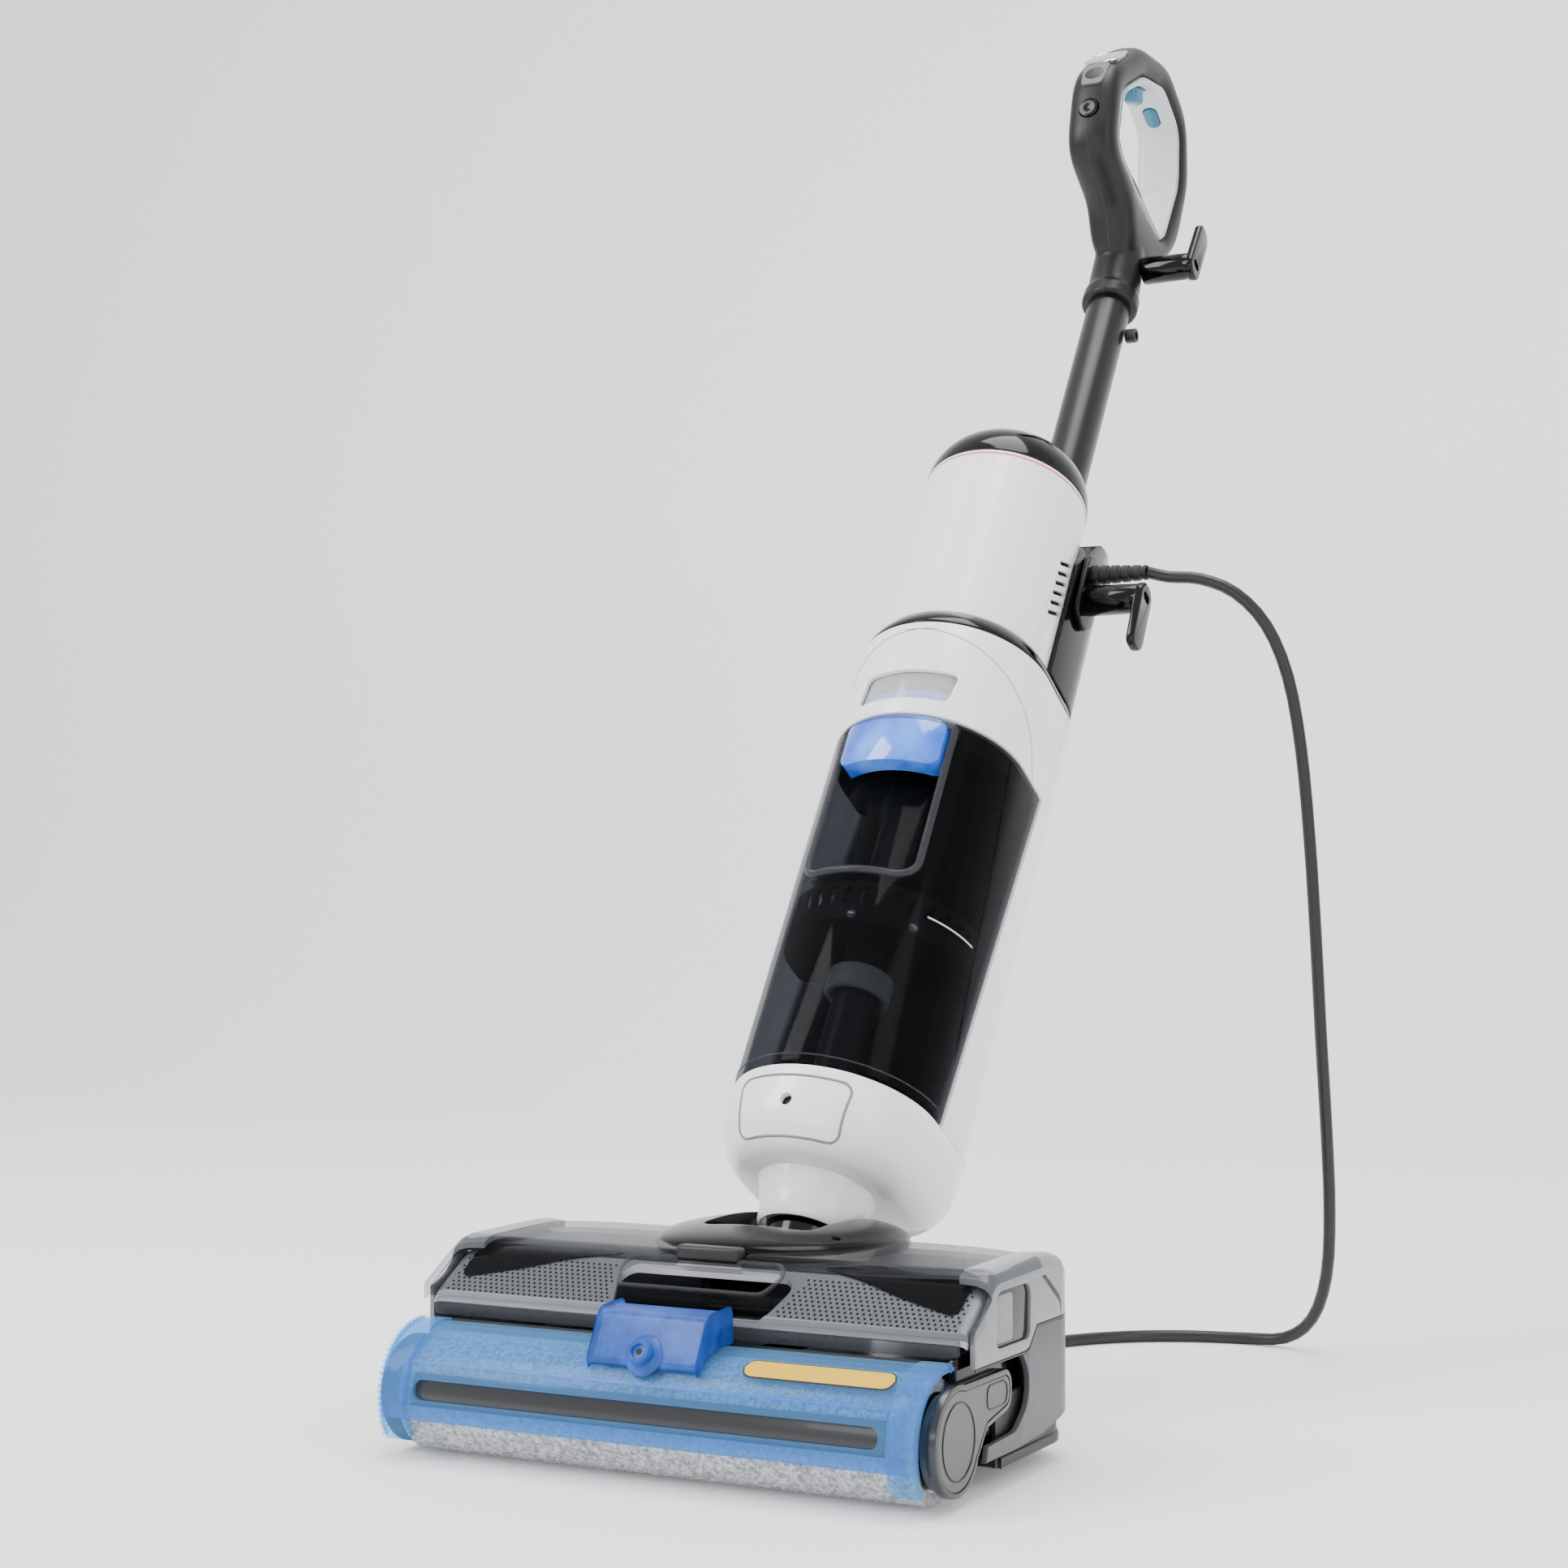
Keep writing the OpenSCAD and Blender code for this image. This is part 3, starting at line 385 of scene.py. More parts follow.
def finish(name, colour, roughness, metallic=0.0, coat=0.0, grain=0.02, bump=0.0, scale=900, colour_b=None,
           clear=None, tint="#ffffff", specular=0.5, sheen=0.0):
    """A plastic, metal, rubber or clear finish from one Principled shader."""
    material = bpy.data.materials.new(name)
    material.use_nodes = True
    tree = material.node_tree
    tree.nodes.clear()
    output = add(tree, "ShaderNodeOutputMaterial")
    shader = add(tree, "ShaderNodeBsdfPrincipled")
    shader.inputs["Base Color"].default_value = tone(colour)
    shader.inputs["Roughness"].default_value = roughness
    shader.inputs["Metallic"].default_value = metallic
    shader.inputs["Coat Weight"].default_value = coat
    shader.inputs["Coat Roughness"].default_value = 0.05
    shader.inputs["Specular IOR Level"].default_value = specular
    shader.inputs["Sheen Weight"].default_value = sheen
    if grain or bump or colour_b:
        place = add(tree, "ShaderNodeTexCoord")
        noise = add(tree, "ShaderNodeTexNoise", Scale=scale, Detail=3.0)
        tree.links.new(place.outputs["Object"], noise.inputs["Vector"])
        if grain:
            spread = add(tree, "ShaderNodeMapRange")
            spread.inputs["To Min"].default_value = max(roughness - grain, 0.02)
            spread.inputs["To Max"].default_value = roughness + grain
            tree.links.new(noise.outputs["Fac"], spread.inputs["Value"])
            tree.links.new(spread.outputs["Result"], shader.inputs["Roughness"])
        if colour_b:
            ramp = add(tree, "ShaderNodeValToRGB")
            for stop, at, shade in zip(ramp.color_ramp.elements, (0.35, 0.65), (colour, colour_b)):
                stop.position, stop.color = at, tone(shade)
            tree.links.new(noise.outputs["Fac"], ramp.inputs["Fac"])
            tree.links.new(ramp.outputs["Color"], shader.inputs["Base Color"])
        if bump:
            relief = add(tree, "ShaderNodeBump", Strength=bump, Distance=0.0004)
            tree.links.new(noise.outputs["Fac"], relief.inputs["Height"])
            tree.links.new(relief.outputs["Normal"], shader.inputs["Normal"])
    surface = shader.outputs["BSDF"]
    if clear is not None:
        glance = add(tree, "ShaderNodeLayerWeight", Blend=0.5)
        power = add(tree, "ShaderNodeMath", operation="POWER")
        power.inputs[1].default_value = 5.0
        body = add(tree, "ShaderNodeMapRange")
        body.inputs["To Min"].default_value = clear
        body.inputs["To Max"].default_value = 0.8
        through = add(tree, "ShaderNodeBsdfTransparent", Color=tone(tint))
        mix = add(tree, "ShaderNodeMixShader")
        tree.links.new(glance.outputs["Facing"], power.inputs[0])
        tree.links.new(power.outputs["Value"], body.inputs["Value"])
        tree.links.new(body.outputs["Result"], mix.inputs["Fac"])
        tree.links.new(through.outputs["BSDF"], mix.inputs[1])
        tree.links.new(shader.outputs["BSDF"], mix.inputs[2])
        surface = mix.outputs["Shader"]
    tree.links.new(surface, output.inputs["Surface"])
    FINISHES[name] = material
    return material


# %% [markdown]
# The machine's colours: white gloss shells, piano black trim, a soft-touch dark grey handle,
# light and dark grey ABS on the head, smoke and blue clear covers, and a light grey plush roller.

# %% Finishes
finish("white_abs", "#f4f4f5", 0.24, coat=0.3, grain=0.03, scale=60)
finish("gloss_black", "#030304", 0.1, grain=0.02, scale=50, specular=0.3)
finish("soft_grey", "#0c0c0e", 0.4, bump=0.12, scale=2600, specular=0.35)
finish("liner_grey", "#cfd0d1", 0.3, grain=0.04, scale=80)
finish("black_abs", "#0d0d0f", 0.45, bump=0.1, scale=1800)
finish("dark_grey_abs", "#3c3e41", 0.32, grain=0.05, scale=90)
finish("saddle_black", "#020203", 0.16, grain=0.03, scale=40, specular=0.12)
finish("light_grey_abs", "#77797c", 0.26, coat=0.2, grain=0.03, scale=70)
finish("mid_grey_abs", "#4c4e51", 0.36, grain=0.05, scale=120, bump=0.04)
finish("silver_mesh", "#c3c5c7", 0.36, metallic=0.45, grain=0.05, scale=140)
finish("dark_panel", "#1d1e20", 0.26, coat=0.2, grain=0.03, scale=120)
# Black for holes: painted shade standing in for the dark inside the panel's holes and the nozzle's bore.
finish("hole_black", "#070708", 0.6)
finish("smoke_clear", "#2e3032", 0.05, clear=0.04, tint="#dcdddf")
finish("bumper_clear", "#7c7e81", 0.06, clear=0.16, tint="#dadcde")
finish("smoke_tank", "#222325", 0.04, clear=0.08, tint="#b6b8bc")
# The clean tank's near-white colour, with a large share of it in the mix, is painted light: it makes the tank read
# as lit inside, where the collar's inside lies in shade.
finish("clear", "#f4f8fb", 0.06, clear=0.42, tint="#fbfdff")
finish("water", "#2f86ff", 0.05, clear=0.75, tint="#9ccbff")
finish("clear_blue", "#79b4e8", 0.09, clear=0.16, tint="#cfe8fd", bump=0.35, scale=420)
finish("blue_gloss", "#16408f", 0.38, grain=0.06, scale=110, colour_b="#2656ad", bump=0.05, specular=0.35)
# The release key's finish: the lighter blue noise patches in it are painted highlights, clouds of gloss, not a
# second blue of the plastic.
finish("button_blue", "#1c5ad2", 0.1, coat=0.5, colour_b="#5f9cff", scale=30)
finish("teal_button", "#1f6a86", 0.2, coat=0.4)
finish("lens", "#050506", 0.03, coat=1.0)
finish("chrome_trim", "#d8dadc", 0.12, metallic=1.0)
finish("wand_paint", "#0f1012", 0.3, metallic=0.1, bump=0.05, scale=2200)
finish("orange_line", "#e07a5c", 0.4)
finish("steel", "#b9bbbd", 0.28, metallic=1.0, grain=0.08, scale=300)
finish("steel_boiler", "#a9abad", 0.35, metallic=1.0, grain=0.1, scale=200)
finish("aluminium", "#c4c5c6", 0.3, metallic=1.0, grain=0.08, scale=260)
finish("rubber", "#121213", 0.6, bump=0.2, scale=1500)
finish("cord_pvc", "#0d0d0e", 0.38, bump=0.05, scale=2400)
finish("white_pom", "#dcdcd8", 0.4)
finish("plush", "#cfd0d1", 0.92, colour_b="#88898c", scale=420, bump=0.5, sheen=0.4)
finish("label_yellow", "#e0b01c", 0.45, grain=0.05, scale=300)
finish("ink_black", "#1a1812", 0.6)
finish("screw_dark", "#1c1c1e", 0.35, metallic=0.8)
finish("card_grey", "#7d7f82", 0.4)

SLOTS = {part["node"]: part["material_slot"] for part in frame["record"]["subparts"]}
for node, piece in frame["nodes"].items():
    piece.data.materials.clear()
    piece.data.materials.append(FINISHES[SLOTS[node]])
    soften(piece, 0)
print(len(FINISHES), "finishes on", len(SLOTS), "CAD nodes")

# %% [markdown]
# The mains cord is 7 mm across and 6 m long.  It leaves the body through a tapered boot, falls to
# the floor and runs into a neat coil behind the head.  The coil is wound as a real one is: turn
# beside turn across a layer, then up a layer and back.

# %% Cord
CORD_R = 3.5
COIL_AT, COIL_MID, ACROSS, UP = (-52, 268), 42, 7.4, 7.1
boot_low, boot_high = span("strain_relief", BODY)
EXIT = BODY @ (Vector((boot_high[0], (boot_low[1] + boot_high[1]) / 2,
                       (boot_low[2] + boot_high[2]) / 2)) * MM)
ROUTE = [(98, 347, 445), (116, 348, 443), (136, 350, 434), (153, 353, 415), (164, 357, 386), (170, 361, 346),
         (173, 366, 296), (175, 370, 240), (176, 375, 184), (177, 381, 130), (176, 389, 84), (171, 399, 47),
         (159, 411, 20), (140, 420, 6), (114, 422, 3.5), (86, 415, 3.5), (60, 401, 3.5), (38, 380, 3.5),
         (22, 355, 3.5), (13, 328, 3.5), (9.4, 302, 3.5), (8.5, 280, 3.5)]
TAIL = [(0, -60, 24.8), (0, -52, 24.4), (0, -44, 21.4), (0, -34, 15), (0, -26, 11.3), (0, -18, 10.5),
        (0, -4, 10.5)]
PLUG_AT = Vector((COIL_AT[0] - 53.1, COIL_AT[1] + 92, 0))
# Column of each turn, outermost 6, and the layer it lies in
TURNS = [(c, 0) for c in (6, 5, 4, 3, 2, 1)] + [(c, 1) for c in (2, 3, 4, 5, 6)]
TURNS += [(c, 2) for c in (5, 4, 3, 2, 1)] + [(c, 3) for c in (2, 3, 4, 5)]


def ease(t):
    """A smooth step from 0 to 1."""
    t = min(max(t, 0), 1)
    return t * t * (3 - 2 * t)


def coil_point(u):
    """The cord's middle after u turns: it climbs before it shifts to the next column."""
    k, part = int(u), u - int(u)
    column, layer = TURNS[k]
    next_column, next_layer = TURNS[min(k + 1, len(TURNS) - 1)]
    radius = COIL_MID + ACROSS * (column - 3.5 + (next_column - column) * ease((part - 5 / 6) * 6))
    height = CORD_R + UP * (layer + (next_layer - layer) * ease((part - 4 / 6) * 6))
    angle = -2 * math.pi * u
    return Vector((COIL_AT[0] + radius * math.cos(angle), COIL_AT[1] + radius * math.sin(angle), height))


lead = curve_through([tuple(EXIT / MM)] + ROUTE, 3)
coil = [coil_point(u) for u in np.arange(0, len(TURNS) - 0.5 + 1e-6, 1 / 28)]
tail = [PLUG_AT + Vector(p) for p in TAIL]
line = [p * MM for p in lead[:-1] + coil + tail]
cord_curve = bpy.data.curves.new("mains_cord", "CURVE")
cord_curve.dimensions = "3D"
spline = cord_curve.splines.new("POLY")
spline.points.add(len(line) - 1)
for point, place in zip(spline.points, line):
    point.co = (*place, 1)
cord_curve.bevel_depth = CORD_R * MM
cord_curve.bevel_resolution = 4
cord_curve.use_fill_caps = True
cord = bpy.data.objects.new("mains_cord", cord_curve)
bpy.context.scene.collection.objects.link(cord)
cord_curve.materials.append(FINISHES["cord_pvc"])
CORD_LENGTH = sum((b - a).length for a, b in zip(line, line[1:]))
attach(cord, "body")
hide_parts("cord_lead", "cord_coil")
print("cord", round(CORD_LENGTH, 3), "m in", len(line), "points")

# %% [markdown]
# The plug is a moulded two-pin one: a tapered body with finger ridges, a ribbed boot and two pins.

# %% Plug and boot
def boot(length, r0, r1, ribs=5):
    """A tapered boot's profile with ring grooves."""
    profile = [(0, 0), (r0, 0)]
    for k in range(ribs):
        a, b = (k + 0.35) / ribs, (k + 0.75) / ribs
        for t, depth in ((a, 0), (a + 0.02, 0.7), (b - 0.02, 0.7), (b, 0)):
            profile.append((r0 + (r1 - r0) * t - depth, length * t))
    return profile + [(r1, length), (0, length)]


vertices, faces = turned(boot(boot_high[0] - boot_low[0], 6, CORD_R + 0.8), 32, "x")
shift = Vector((boot_low[0], (boot_low[1] + boot_high[1]) / 2, (boot_low[2] + boot_high[2]) / 2))
placed("strain_relief_boot", [Vector(v) + shift for v in vertices], faces, "rubber", BODY, "body",
       ["strain_relief"])
plug_body = slab(rounded([(-14, 0, 5), (14, 0, 5), (12, 34, 4), (-12, 34, 4)]), 0, 21, 3)
plug_boot = turned([(r, -h) for r, h in boot(24, 8, CORD_R + 0.8)][::-1], 32, "x")
plug_boot = ([(y, x, z + 10.5) for x, y, z in plug_boot[0]], plug_boot[1])
pins = [pipe([(x, 33, 10.5), (x, 49, 10.5), (x, 50, 10.5)], [2.4, 2.4, 1.4], 16) for x in (-6.5, 6.5)]
PLUG = Matrix.Translation(PLUG_AT * MM)
plug = placed("mains_plug", *joined(plug_body, plug_boot), "cord_pvc", PLUG, "body", ["plug"])
pin_pair = placed("plug_pins", *joined(*pins), "chrome_trim", PLUG, "body")

# %% [markdown]
# Small things that repeat come from one Geometry Nodes group: it puts a shape on every point of a
# carrier mesh, turns it to face the point's own direction and varies its size a little.  Its
# inputs have names, its seed is fixed, and it ends in Realize Instances and Set Material.

# %% Repeats
def repeats_group():
    """Builds the node group that every repeated detail shares."""
    tree = bpy.data.node_groups.new("put_on_points", "GeometryNodeTree")
    for label, kind, way in (("Points", "Geometry", "INPUT"), ("Shape", "Object", "INPUT"),
                             ("Smallest", "Float", "INPUT"), ("Largest", "Float", "INPUT"),
                             ("Seed", "Int", "INPUT"), ("Finish", "Material", "INPUT"),
                             ("Result", "Geometry", "OUTPUT")):
        tree.interface.new_socket(name=label, in_out=way, socket_type="NodeSocket" + kind)
    inputs, output = add(tree, "NodeGroupInput"), add(tree, "NodeGroupOutput")
    shape = add(tree, "GeometryNodeObjectInfo")
    facing = add(tree, "GeometryNodeInputNamedAttribute", data_type="FLOAT_VECTOR")
    facing.inputs["Name"].default_value = "facing"
    aim = add(tree, "FunctionNodeAlignEulerToVector", axis="Z")
    size = add(tree, "FunctionNodeRandomValue", data_type="FLOAT")
    put = add(tree, "GeometryNodeInstanceOnPoints")
    real = add(tree, "GeometryNodeRealizeInstances")
    paint = add(tree, "GeometryNodeSetMaterial")
    low_in, high_in = [s for s in size.inputs if s.name in ("Min", "Max") and s.type == "VALUE"]
    for a, b in ((inputs.outputs["Shape"], shape.inputs["Object"]),
                 (facing.outputs["Attribute"], aim.inputs["Vector"]),
                 (inputs.outputs["Smallest"], low_in), (inputs.outputs["Largest"], high_in),
                 (inputs.outputs["Seed"], size.inputs["Seed"]),
                 (inputs.outputs["Points"], put.inputs["Points"]),
                 (shape.outputs["Geometry"], put.inputs["Instance"]),
                 (aim.outputs["Rotation"], put.inputs["Rotation"]),
                 (next(s for s in size.outputs if s.type == "VALUE"), put.inputs["Scale"]),
                 (put.outputs["Instances"], real.inputs["Geometry"]),
                 (real.outputs["Geometry"], paint.inputs["Geometry"]),
                 (inputs.outputs["Finish"], paint.inputs["Material"]),
                 (paint.outputs["Geometry"], output.inputs["Result"])):
        tree.links.new(a, b)
    return tree


REPEATS = repeats_group()


def repeated(name, spots, shape, finish_name, place, body=None, replaces=(), spread=0.0, seed=1):
    """Puts a (vertices, faces) shape on every (point, direction) spot; millimetres in a local frame."""
    mesh = bpy.data.meshes.new(name)
    mesh.from_pydata([tuple(place @ (Vector(p) * MM)) for p, _ in spots], [], [])
    attribute = mesh.attributes.new("facing", "FLOAT_VECTOR", "POINT")
    turn_only = place.to_3x3()
    attribute.data.foreach_set("vector", [c for _, d in spots for c in turn_only @ Vector(d)])
    carrier = bpy.data.objects.new(name, mesh)
    bpy.context.scene.collection.objects.link(carrier)
    sample = solid(name + "_shape", shape, Matrix.Identity(4))
    modifier = carrier.modifiers.new("repeats", "NODES")
    modifier.node_group = REPEATS
    values = {"Shape": sample, "Smallest": 1 - spread, "Largest": 1 + spread, "Seed": seed,
              "Finish": FINISHES[finish_name]}
    for socket in REPEATS.interface.items_tree:
        if socket.name in values:
            modifier[socket.identifier] = values[socket.name]
    baked(carrier)
    bpy.data.objects.remove(sample)
    if body:
        dress(carrier, finish_name, body, replaces)
    return carrier


def cut_away(piece, tool):
    """Cuts one object out of another and removes it."""
    modifier = piece.modifiers.new("cut", "BOOLEAN")
    modifier.operation, modifier.solver, modifier.object = "DIFFERENCE", "EXACT", tool
    baked(piece)
    bpy.data.objects.remove(tool)


def cut_with(piece, tool):
    """The same, with the new edges shaded sharp."""
    cut_away(piece, tool)
    soften(piece, 0)


print("repeats ready")

# %% [markdown]
# The lower body is a rounded bowl with the swivel's sleeve under it.  Its section is a D: a half
# circle in front, flat sides and softly squared back corners.

# %% Neck and cup
def d_ring(height, radius=BODY_R, back=BODY_BACK, corner=36.0, inset=0.0, offset=0.0, count=48):
    """The body's D outline at one station, drawn in by inset and moved back by offset."""
    r, c = radius - inset, max(corner - inset, 2)
    cx, cy = radius - corner, back - corner
    flat = arc(0, 0, r, 180, 360, count) + arc(cx, cy, c, 0, 90, 12) + arc(-cx, cy, c, 90, 180, 12)
    return [(x, b + offset, height) for x, b in flat]


def d_body(low_, high_, edge=1.2, **section):
    """Rings of the D section from low_ to high_ with rounded edges."""
    inset = section.pop("inset", 0.0)
    return skin([d_ring(h, inset=inset + i, **section) for h, i in edge_steps(low_, high_, edge)])


def scaled_ring(height, factor):
    """The D outline shrunk towards the axis at one station."""
    return [(x * factor, b * factor, height) for x, b, _ in d_ring(0)]


cup_rings = [scaled_ring(S_CUP, 0.5), scaled_ring(S_CUP + 0.6, 0.56)]
for t in np.linspace(0.04, 1, 18):
    swell = 0.58 + 0.42 * (1 - (1 - t) ** 2.3) ** (1 / 2.3)
    cup_rings.append(scaled_ring(S_CUP + 34 * t, swell))
cup_rings += [scaled_ring(S_TANK - 1.8, 1.0), scaled_ring(S_TANK - 0.9, 0.994),
              scaled_ring(S_TANK - 0.5, 0.98)]
cup = placed("lower_cup_shell", *skin(cup_rings), "white_abs", BODY, "body", ["lower_cup"])


def on_cup(x, height):
    """A point on the front of the cup."""
    t = min(max((height - S_CUP) / 34, 0.04), 1)
    r = BODY_R * (0.58 + 0.42 * (1 - (1 - t) ** 2.3) ** (1 / 2.3))
    return (x, -math.sqrt(max(r * r - x * x, 1)), height)


cup_panel = rounded([(-27, S_CUP + 7, 6), (27, S_CUP + 7, 6), (31, S_TANK - 7, 5), (-31, S_TANK - 7, 5)], 6)
cup_line = [on_cup(x, h) for x, h in stepped(cup_panel, 6)]
groove = pipe(cup_line, 0.75, 8, closed=True)
screw_at = on_cup(0, S_TANK - 20)
well = pipe([(0, screw_at[1] - 6, screw_at[2]), (0, screw_at[1] + 5, screw_at[2])], 3.1, 32)
carved(cup, [groove, well], BODY)
placed("cup_panel_gap", *pipe(cup_line, 0.5, 8, closed=True), "card_grey", BODY, "body")
screw = pipe([(0, screw_at[1] + 4.9, screw_at[2]), (0, screw_at[1] + 3, screw_at[2])], 2.9, 24)
placed("cup_screw", *screw, "screw_dark", BODY, "body", bevel=0.4)
sleeve = [(20.2, 38), (24, 37), (25.4, 39), (26, 46), (28, 54), (31, 61), (31, 64), (20.2, 64)]
placed("swivel_sleeve_shell", *turned(sleeve, 64), "white_abs", BODY, "body", ["swivel_sleeve"])
barrel = [(0, -27), (30, -27), (31.6, -26.2), (32, -24.5), (32, -11), (31.2, -10.4), (31.2, -9), (32, -8.4),
          (32, 8.4), (31.2, 9), (31.2, 10.4), (32, 11), (32, 24.5), (31.6, 26.2), (30, 27), (0, 27)]
yoke = joined(turned(barrel, 72, "x"), pipe([(0, 0, 20), (0, 0, 72), (0, 0, 74)], [19.9, 19.9, 18.6], 48))
placed("neck_yoke_barrel", *yoke, "gloss_black", BODY, "neck", ["neck_yoke"])
print("cup from", S_CUP, "to", S_TANK)

# %% [markdown]
# The dirty water tank is the front of the same D, cut off by a sloping plane.  It is a real shell:
# an outer skin and an inner one 2.5 mm inside, with a finger recess pressed into the front whose
# floor is a smaller cylinder.  A clear bead runs round the recess.

# %% Dirty water tank
TILT = math.radians(5.6)


def tank_ring(height, inset=0.0, shift=0.0, corner=4.0):
    """The tank's outline at one station: half circle, straight sides, flat back."""
    back = 8 + shift + (height - S_TANK + 0.5) * math.tan(TILT)
    r = BODY_R - inset
    flat = arc(0, 0, r, 180, 360, 56) + arc(r - corner, back - corner, corner, 0, 90, 6)
    return [(x, b, height) for x, b in flat + arc(corner - r, back - corner, corner, 90, 180, 6)]


def tank_body(low_, high_, radius, inset, shift):
    """Rings of the tank's outline with rounded edges."""
    pairs = edge_steps(low_, high_, radius)
    return skin([tank_ring(h, inset + i, shift - i) for h, i in pairs])


def recess_tool(grow, deep):
    """Cuts a rounded window whose floor is a cylinder of radius deep."""
    outline = rounded([(-31 - grow, TANK_TOP - 98 - grow, 10), (31 + grow, TANK_TOP - 98 - grow, 10),
                       (31 + grow, TANK_TOP + 20, 4), (-31 - grow, TANK_TOP + 20, 4)], 6)
    tool = solid("recess", slab(outline, -90, -8, 0.4, "y"), BODY)
    core = solid("recess_floor", pipe([(0, 0, 100), (0, 0, 400)], deep, 128), BODY)
    cut_away(tool, core)
    return tool


tank = placed("dirty_tank_shell", *tank_body(S_TANK, TANK_TOP, 1.6, 0, 0), "smoke_tank", BODY, "dirty",
              ["dirty_tank"])
cut_with(tank, recess_tool(0, 40))
hollow = solid("tank_hollow", tank_body(S_TANK + 2.5, TANK_TOP + 4, 1.0, 2.5, -2.5), BODY)
cut_with(hollow, recess_tool(2.5, 37.5))
cut_with(tank, hollow)
soften(tank, 0.5, 40)
bead = stepped(rounded([(-32, TANK_TOP - 99, 11), (32, TANK_TOP - 99, 11), (32, TANK_TOP - 3, 3),
                        (-32, TANK_TOP - 3, 3)], 8), 8)
placed("recess_bead", *pipe([(x, -math.sqrt(54.6 ** 2 - x * x), h) for x, h in bead], 2.1, 12, closed=True),
       "bumper_clear", BODY, "dirty")
for name, height in (("tank_rim_low", S_TANK + 5), ("tank_fill_mark", S_TANK + 96)):
    mark = [(BODY_R * math.cos(math.radians(a)), BODY_R * math.sin(math.radians(a)), height)
            for a in (np.linspace(181, 359, 60) if "rim" in name else np.linspace(318, 352, 20))]
    placed(name, *pipe(mark, 0.45, 6), "bumper_clear" if "rim" in name else "liner_grey", BODY, "dirty")

# %% [markdown]
# Inside hang a slotted strainer, a riser pipe with its float ring and the lid with two screws.

# %% Tank insides
BASKET, RISER_Y = TANK_TOP + 0.5 - 128, -14
RISER = BODY @ Matrix.Translation((0, RISER_Y * MM, 0))
basket = placed("strainer", *skin([tank_ring(h, 3.6 + i, -3.4 - i) for h,
                                   i in edge_steps(BASKET, BASKET + 24, 1)]),
                "black_abs", BODY, "dirty", ["filter_basket"])
inside = skin([tank_ring(h, 5.4, -5.6) for h in (BASKET + 2, BASKET + 30)])
riser = pipe([(0, RISER_Y, BASKET - 10), (0, RISER_Y, BASKET + 40)], 13, 48)
carved(basket, [inside, riser], BODY)
slots = [((44 * math.sin(math.radians(a)), -44 * math.cos(math.radians(a)), BASKET + 15),
          (math.sin(math.radians(a)), -math.cos(math.radians(a)), 0)) for a in range(-80, 81, 10)]
cut_with(basket, repeated("strainer_slots", slots, block(-2, 2, -5.5, 5.5, -10, 20, 1.2), "hole_black", BODY))
tube = [(10, S_TANK + 3.2), (12, S_TANK + 3.2), (12, TANK_TOP - 13.6), (10, TANK_TOP - 13.6)]
placed("riser_pipe", *turned(tube, 48), "dark_grey_abs",
       RISER, "dirty", ["tank_pipe"], bevel=0.4)
ring = [(13, BASKET - 25), (14, BASKET - 26), (16, BASKET - 26), (17, BASKET - 25), (17, BASKET - 13),
        (16, BASKET - 12), (14, BASKET - 12), (13, BASKET - 13)]
placed("float_ring", *turned(ring, 48), "liner_grey", RISER, "float",
       ["float_ball"])
lid = placed("tank_lid_plate", *skin([tank_ring(h, 3 + i, -3 - i) for h, i in
                                      edge_steps(TANK_TOP - 11.4, TANK_TOP - 0.2, 1)]),
             "black_abs", BODY, "dirty", ["tank_lid"])
cut_with(lid, recess_tool(3, 37))
carved(lid, [pipe([(0, RISER_Y, TANK_TOP - 30), (0, RISER_Y, TANK_TOP + 9)], 14, 48)], BODY)
cross = joined(pipe([(0, 0, -2), (0, 0, 0.6), (0, 0, 1.2)], [2.6, 2.6, 1.8], 24),
               block(-1.6, 1.6, -0.4, 0.4, 1, 1.5, 0.1))
repeated("strainer_screws", [((51 * math.sin(a), -51 * math.cos(a), BASKET + 3.6),
                              (math.sin(a), -math.cos(a), 0))
                             for a in (0.1, 0.75)], cross, "steel", BODY, "dirty")
key = slab(rounded([(-29, TANK_TOP - 30.6, 7), (29, TANK_TOP - 30.6, 7), (29, TANK_TOP - 2, 5),
                    (-29, TANK_TOP - 2, 5)]), -90, -10, 0.3, "y")
# The key's lighter blue patches are painted highlights.
button = placed("release_key", *key, "button_blue", BODY, "release", ["release_button"])
shell = turned([(46, TANK_TOP - 60), (56.4, TANK_TOP - 60), (56.4, TANK_TOP + 20), (46, TANK_TOP + 20)], 128)
carved(button, [shell], BODY, "INTERSECT", bevel=1.6, crease=50)
print("tank from", S_TANK, "to", TANK_TOP)

# %% [markdown]
# White back behind the tank, then the collar whose rounded window shows the clean water.

# %% Back, collar and clean water
back_frame_shell = placed("back_shell", *d_body(S_TANK - 0.4, TANK_TOP + 0.4, 0.8), "white_abs", BODY, "body",
                     ["back_frame"])
front_side = skin([[(-90, -90, h), (90, -90, h), (90, b, h), (-90, b, h)]
                   for h, b in ((S_TANK - 30, 8.5 - 29.5 * math.tan(TILT)),
                                (TANK_TOP + 30, 8.5 + (TANK_TOP + 30.5 - S_TANK) * math.tan(TILT)))])
carved(back_frame_shell, [front_side], BODY, bevel=0.6, crease=40)
collar = placed("collar_shell", *d_body(S_COLLAR, S_RING, 1.0), "white_abs", BODY, "body", ["collar"])
window = rounded([(-29, S_COLLAR + 10, 4), (25, S_COLLAR + 10, 4), (28, S_COLLAR + 29, 4),
                  (-26, S_COLLAR + 29, 4)])
carved(collar, [d_body(S_COLLAR + 2.5, S_RING - 2.5, 0.4, inset=2.5),
                block(-90, 90, BODY_BACK - 36, 120, S_COLLAR + 2.5, S_RING - 2.5, 0.2),
                slab(window, -90, -20, 0.2, "y")], BODY, bevel=0.5, crease=40)
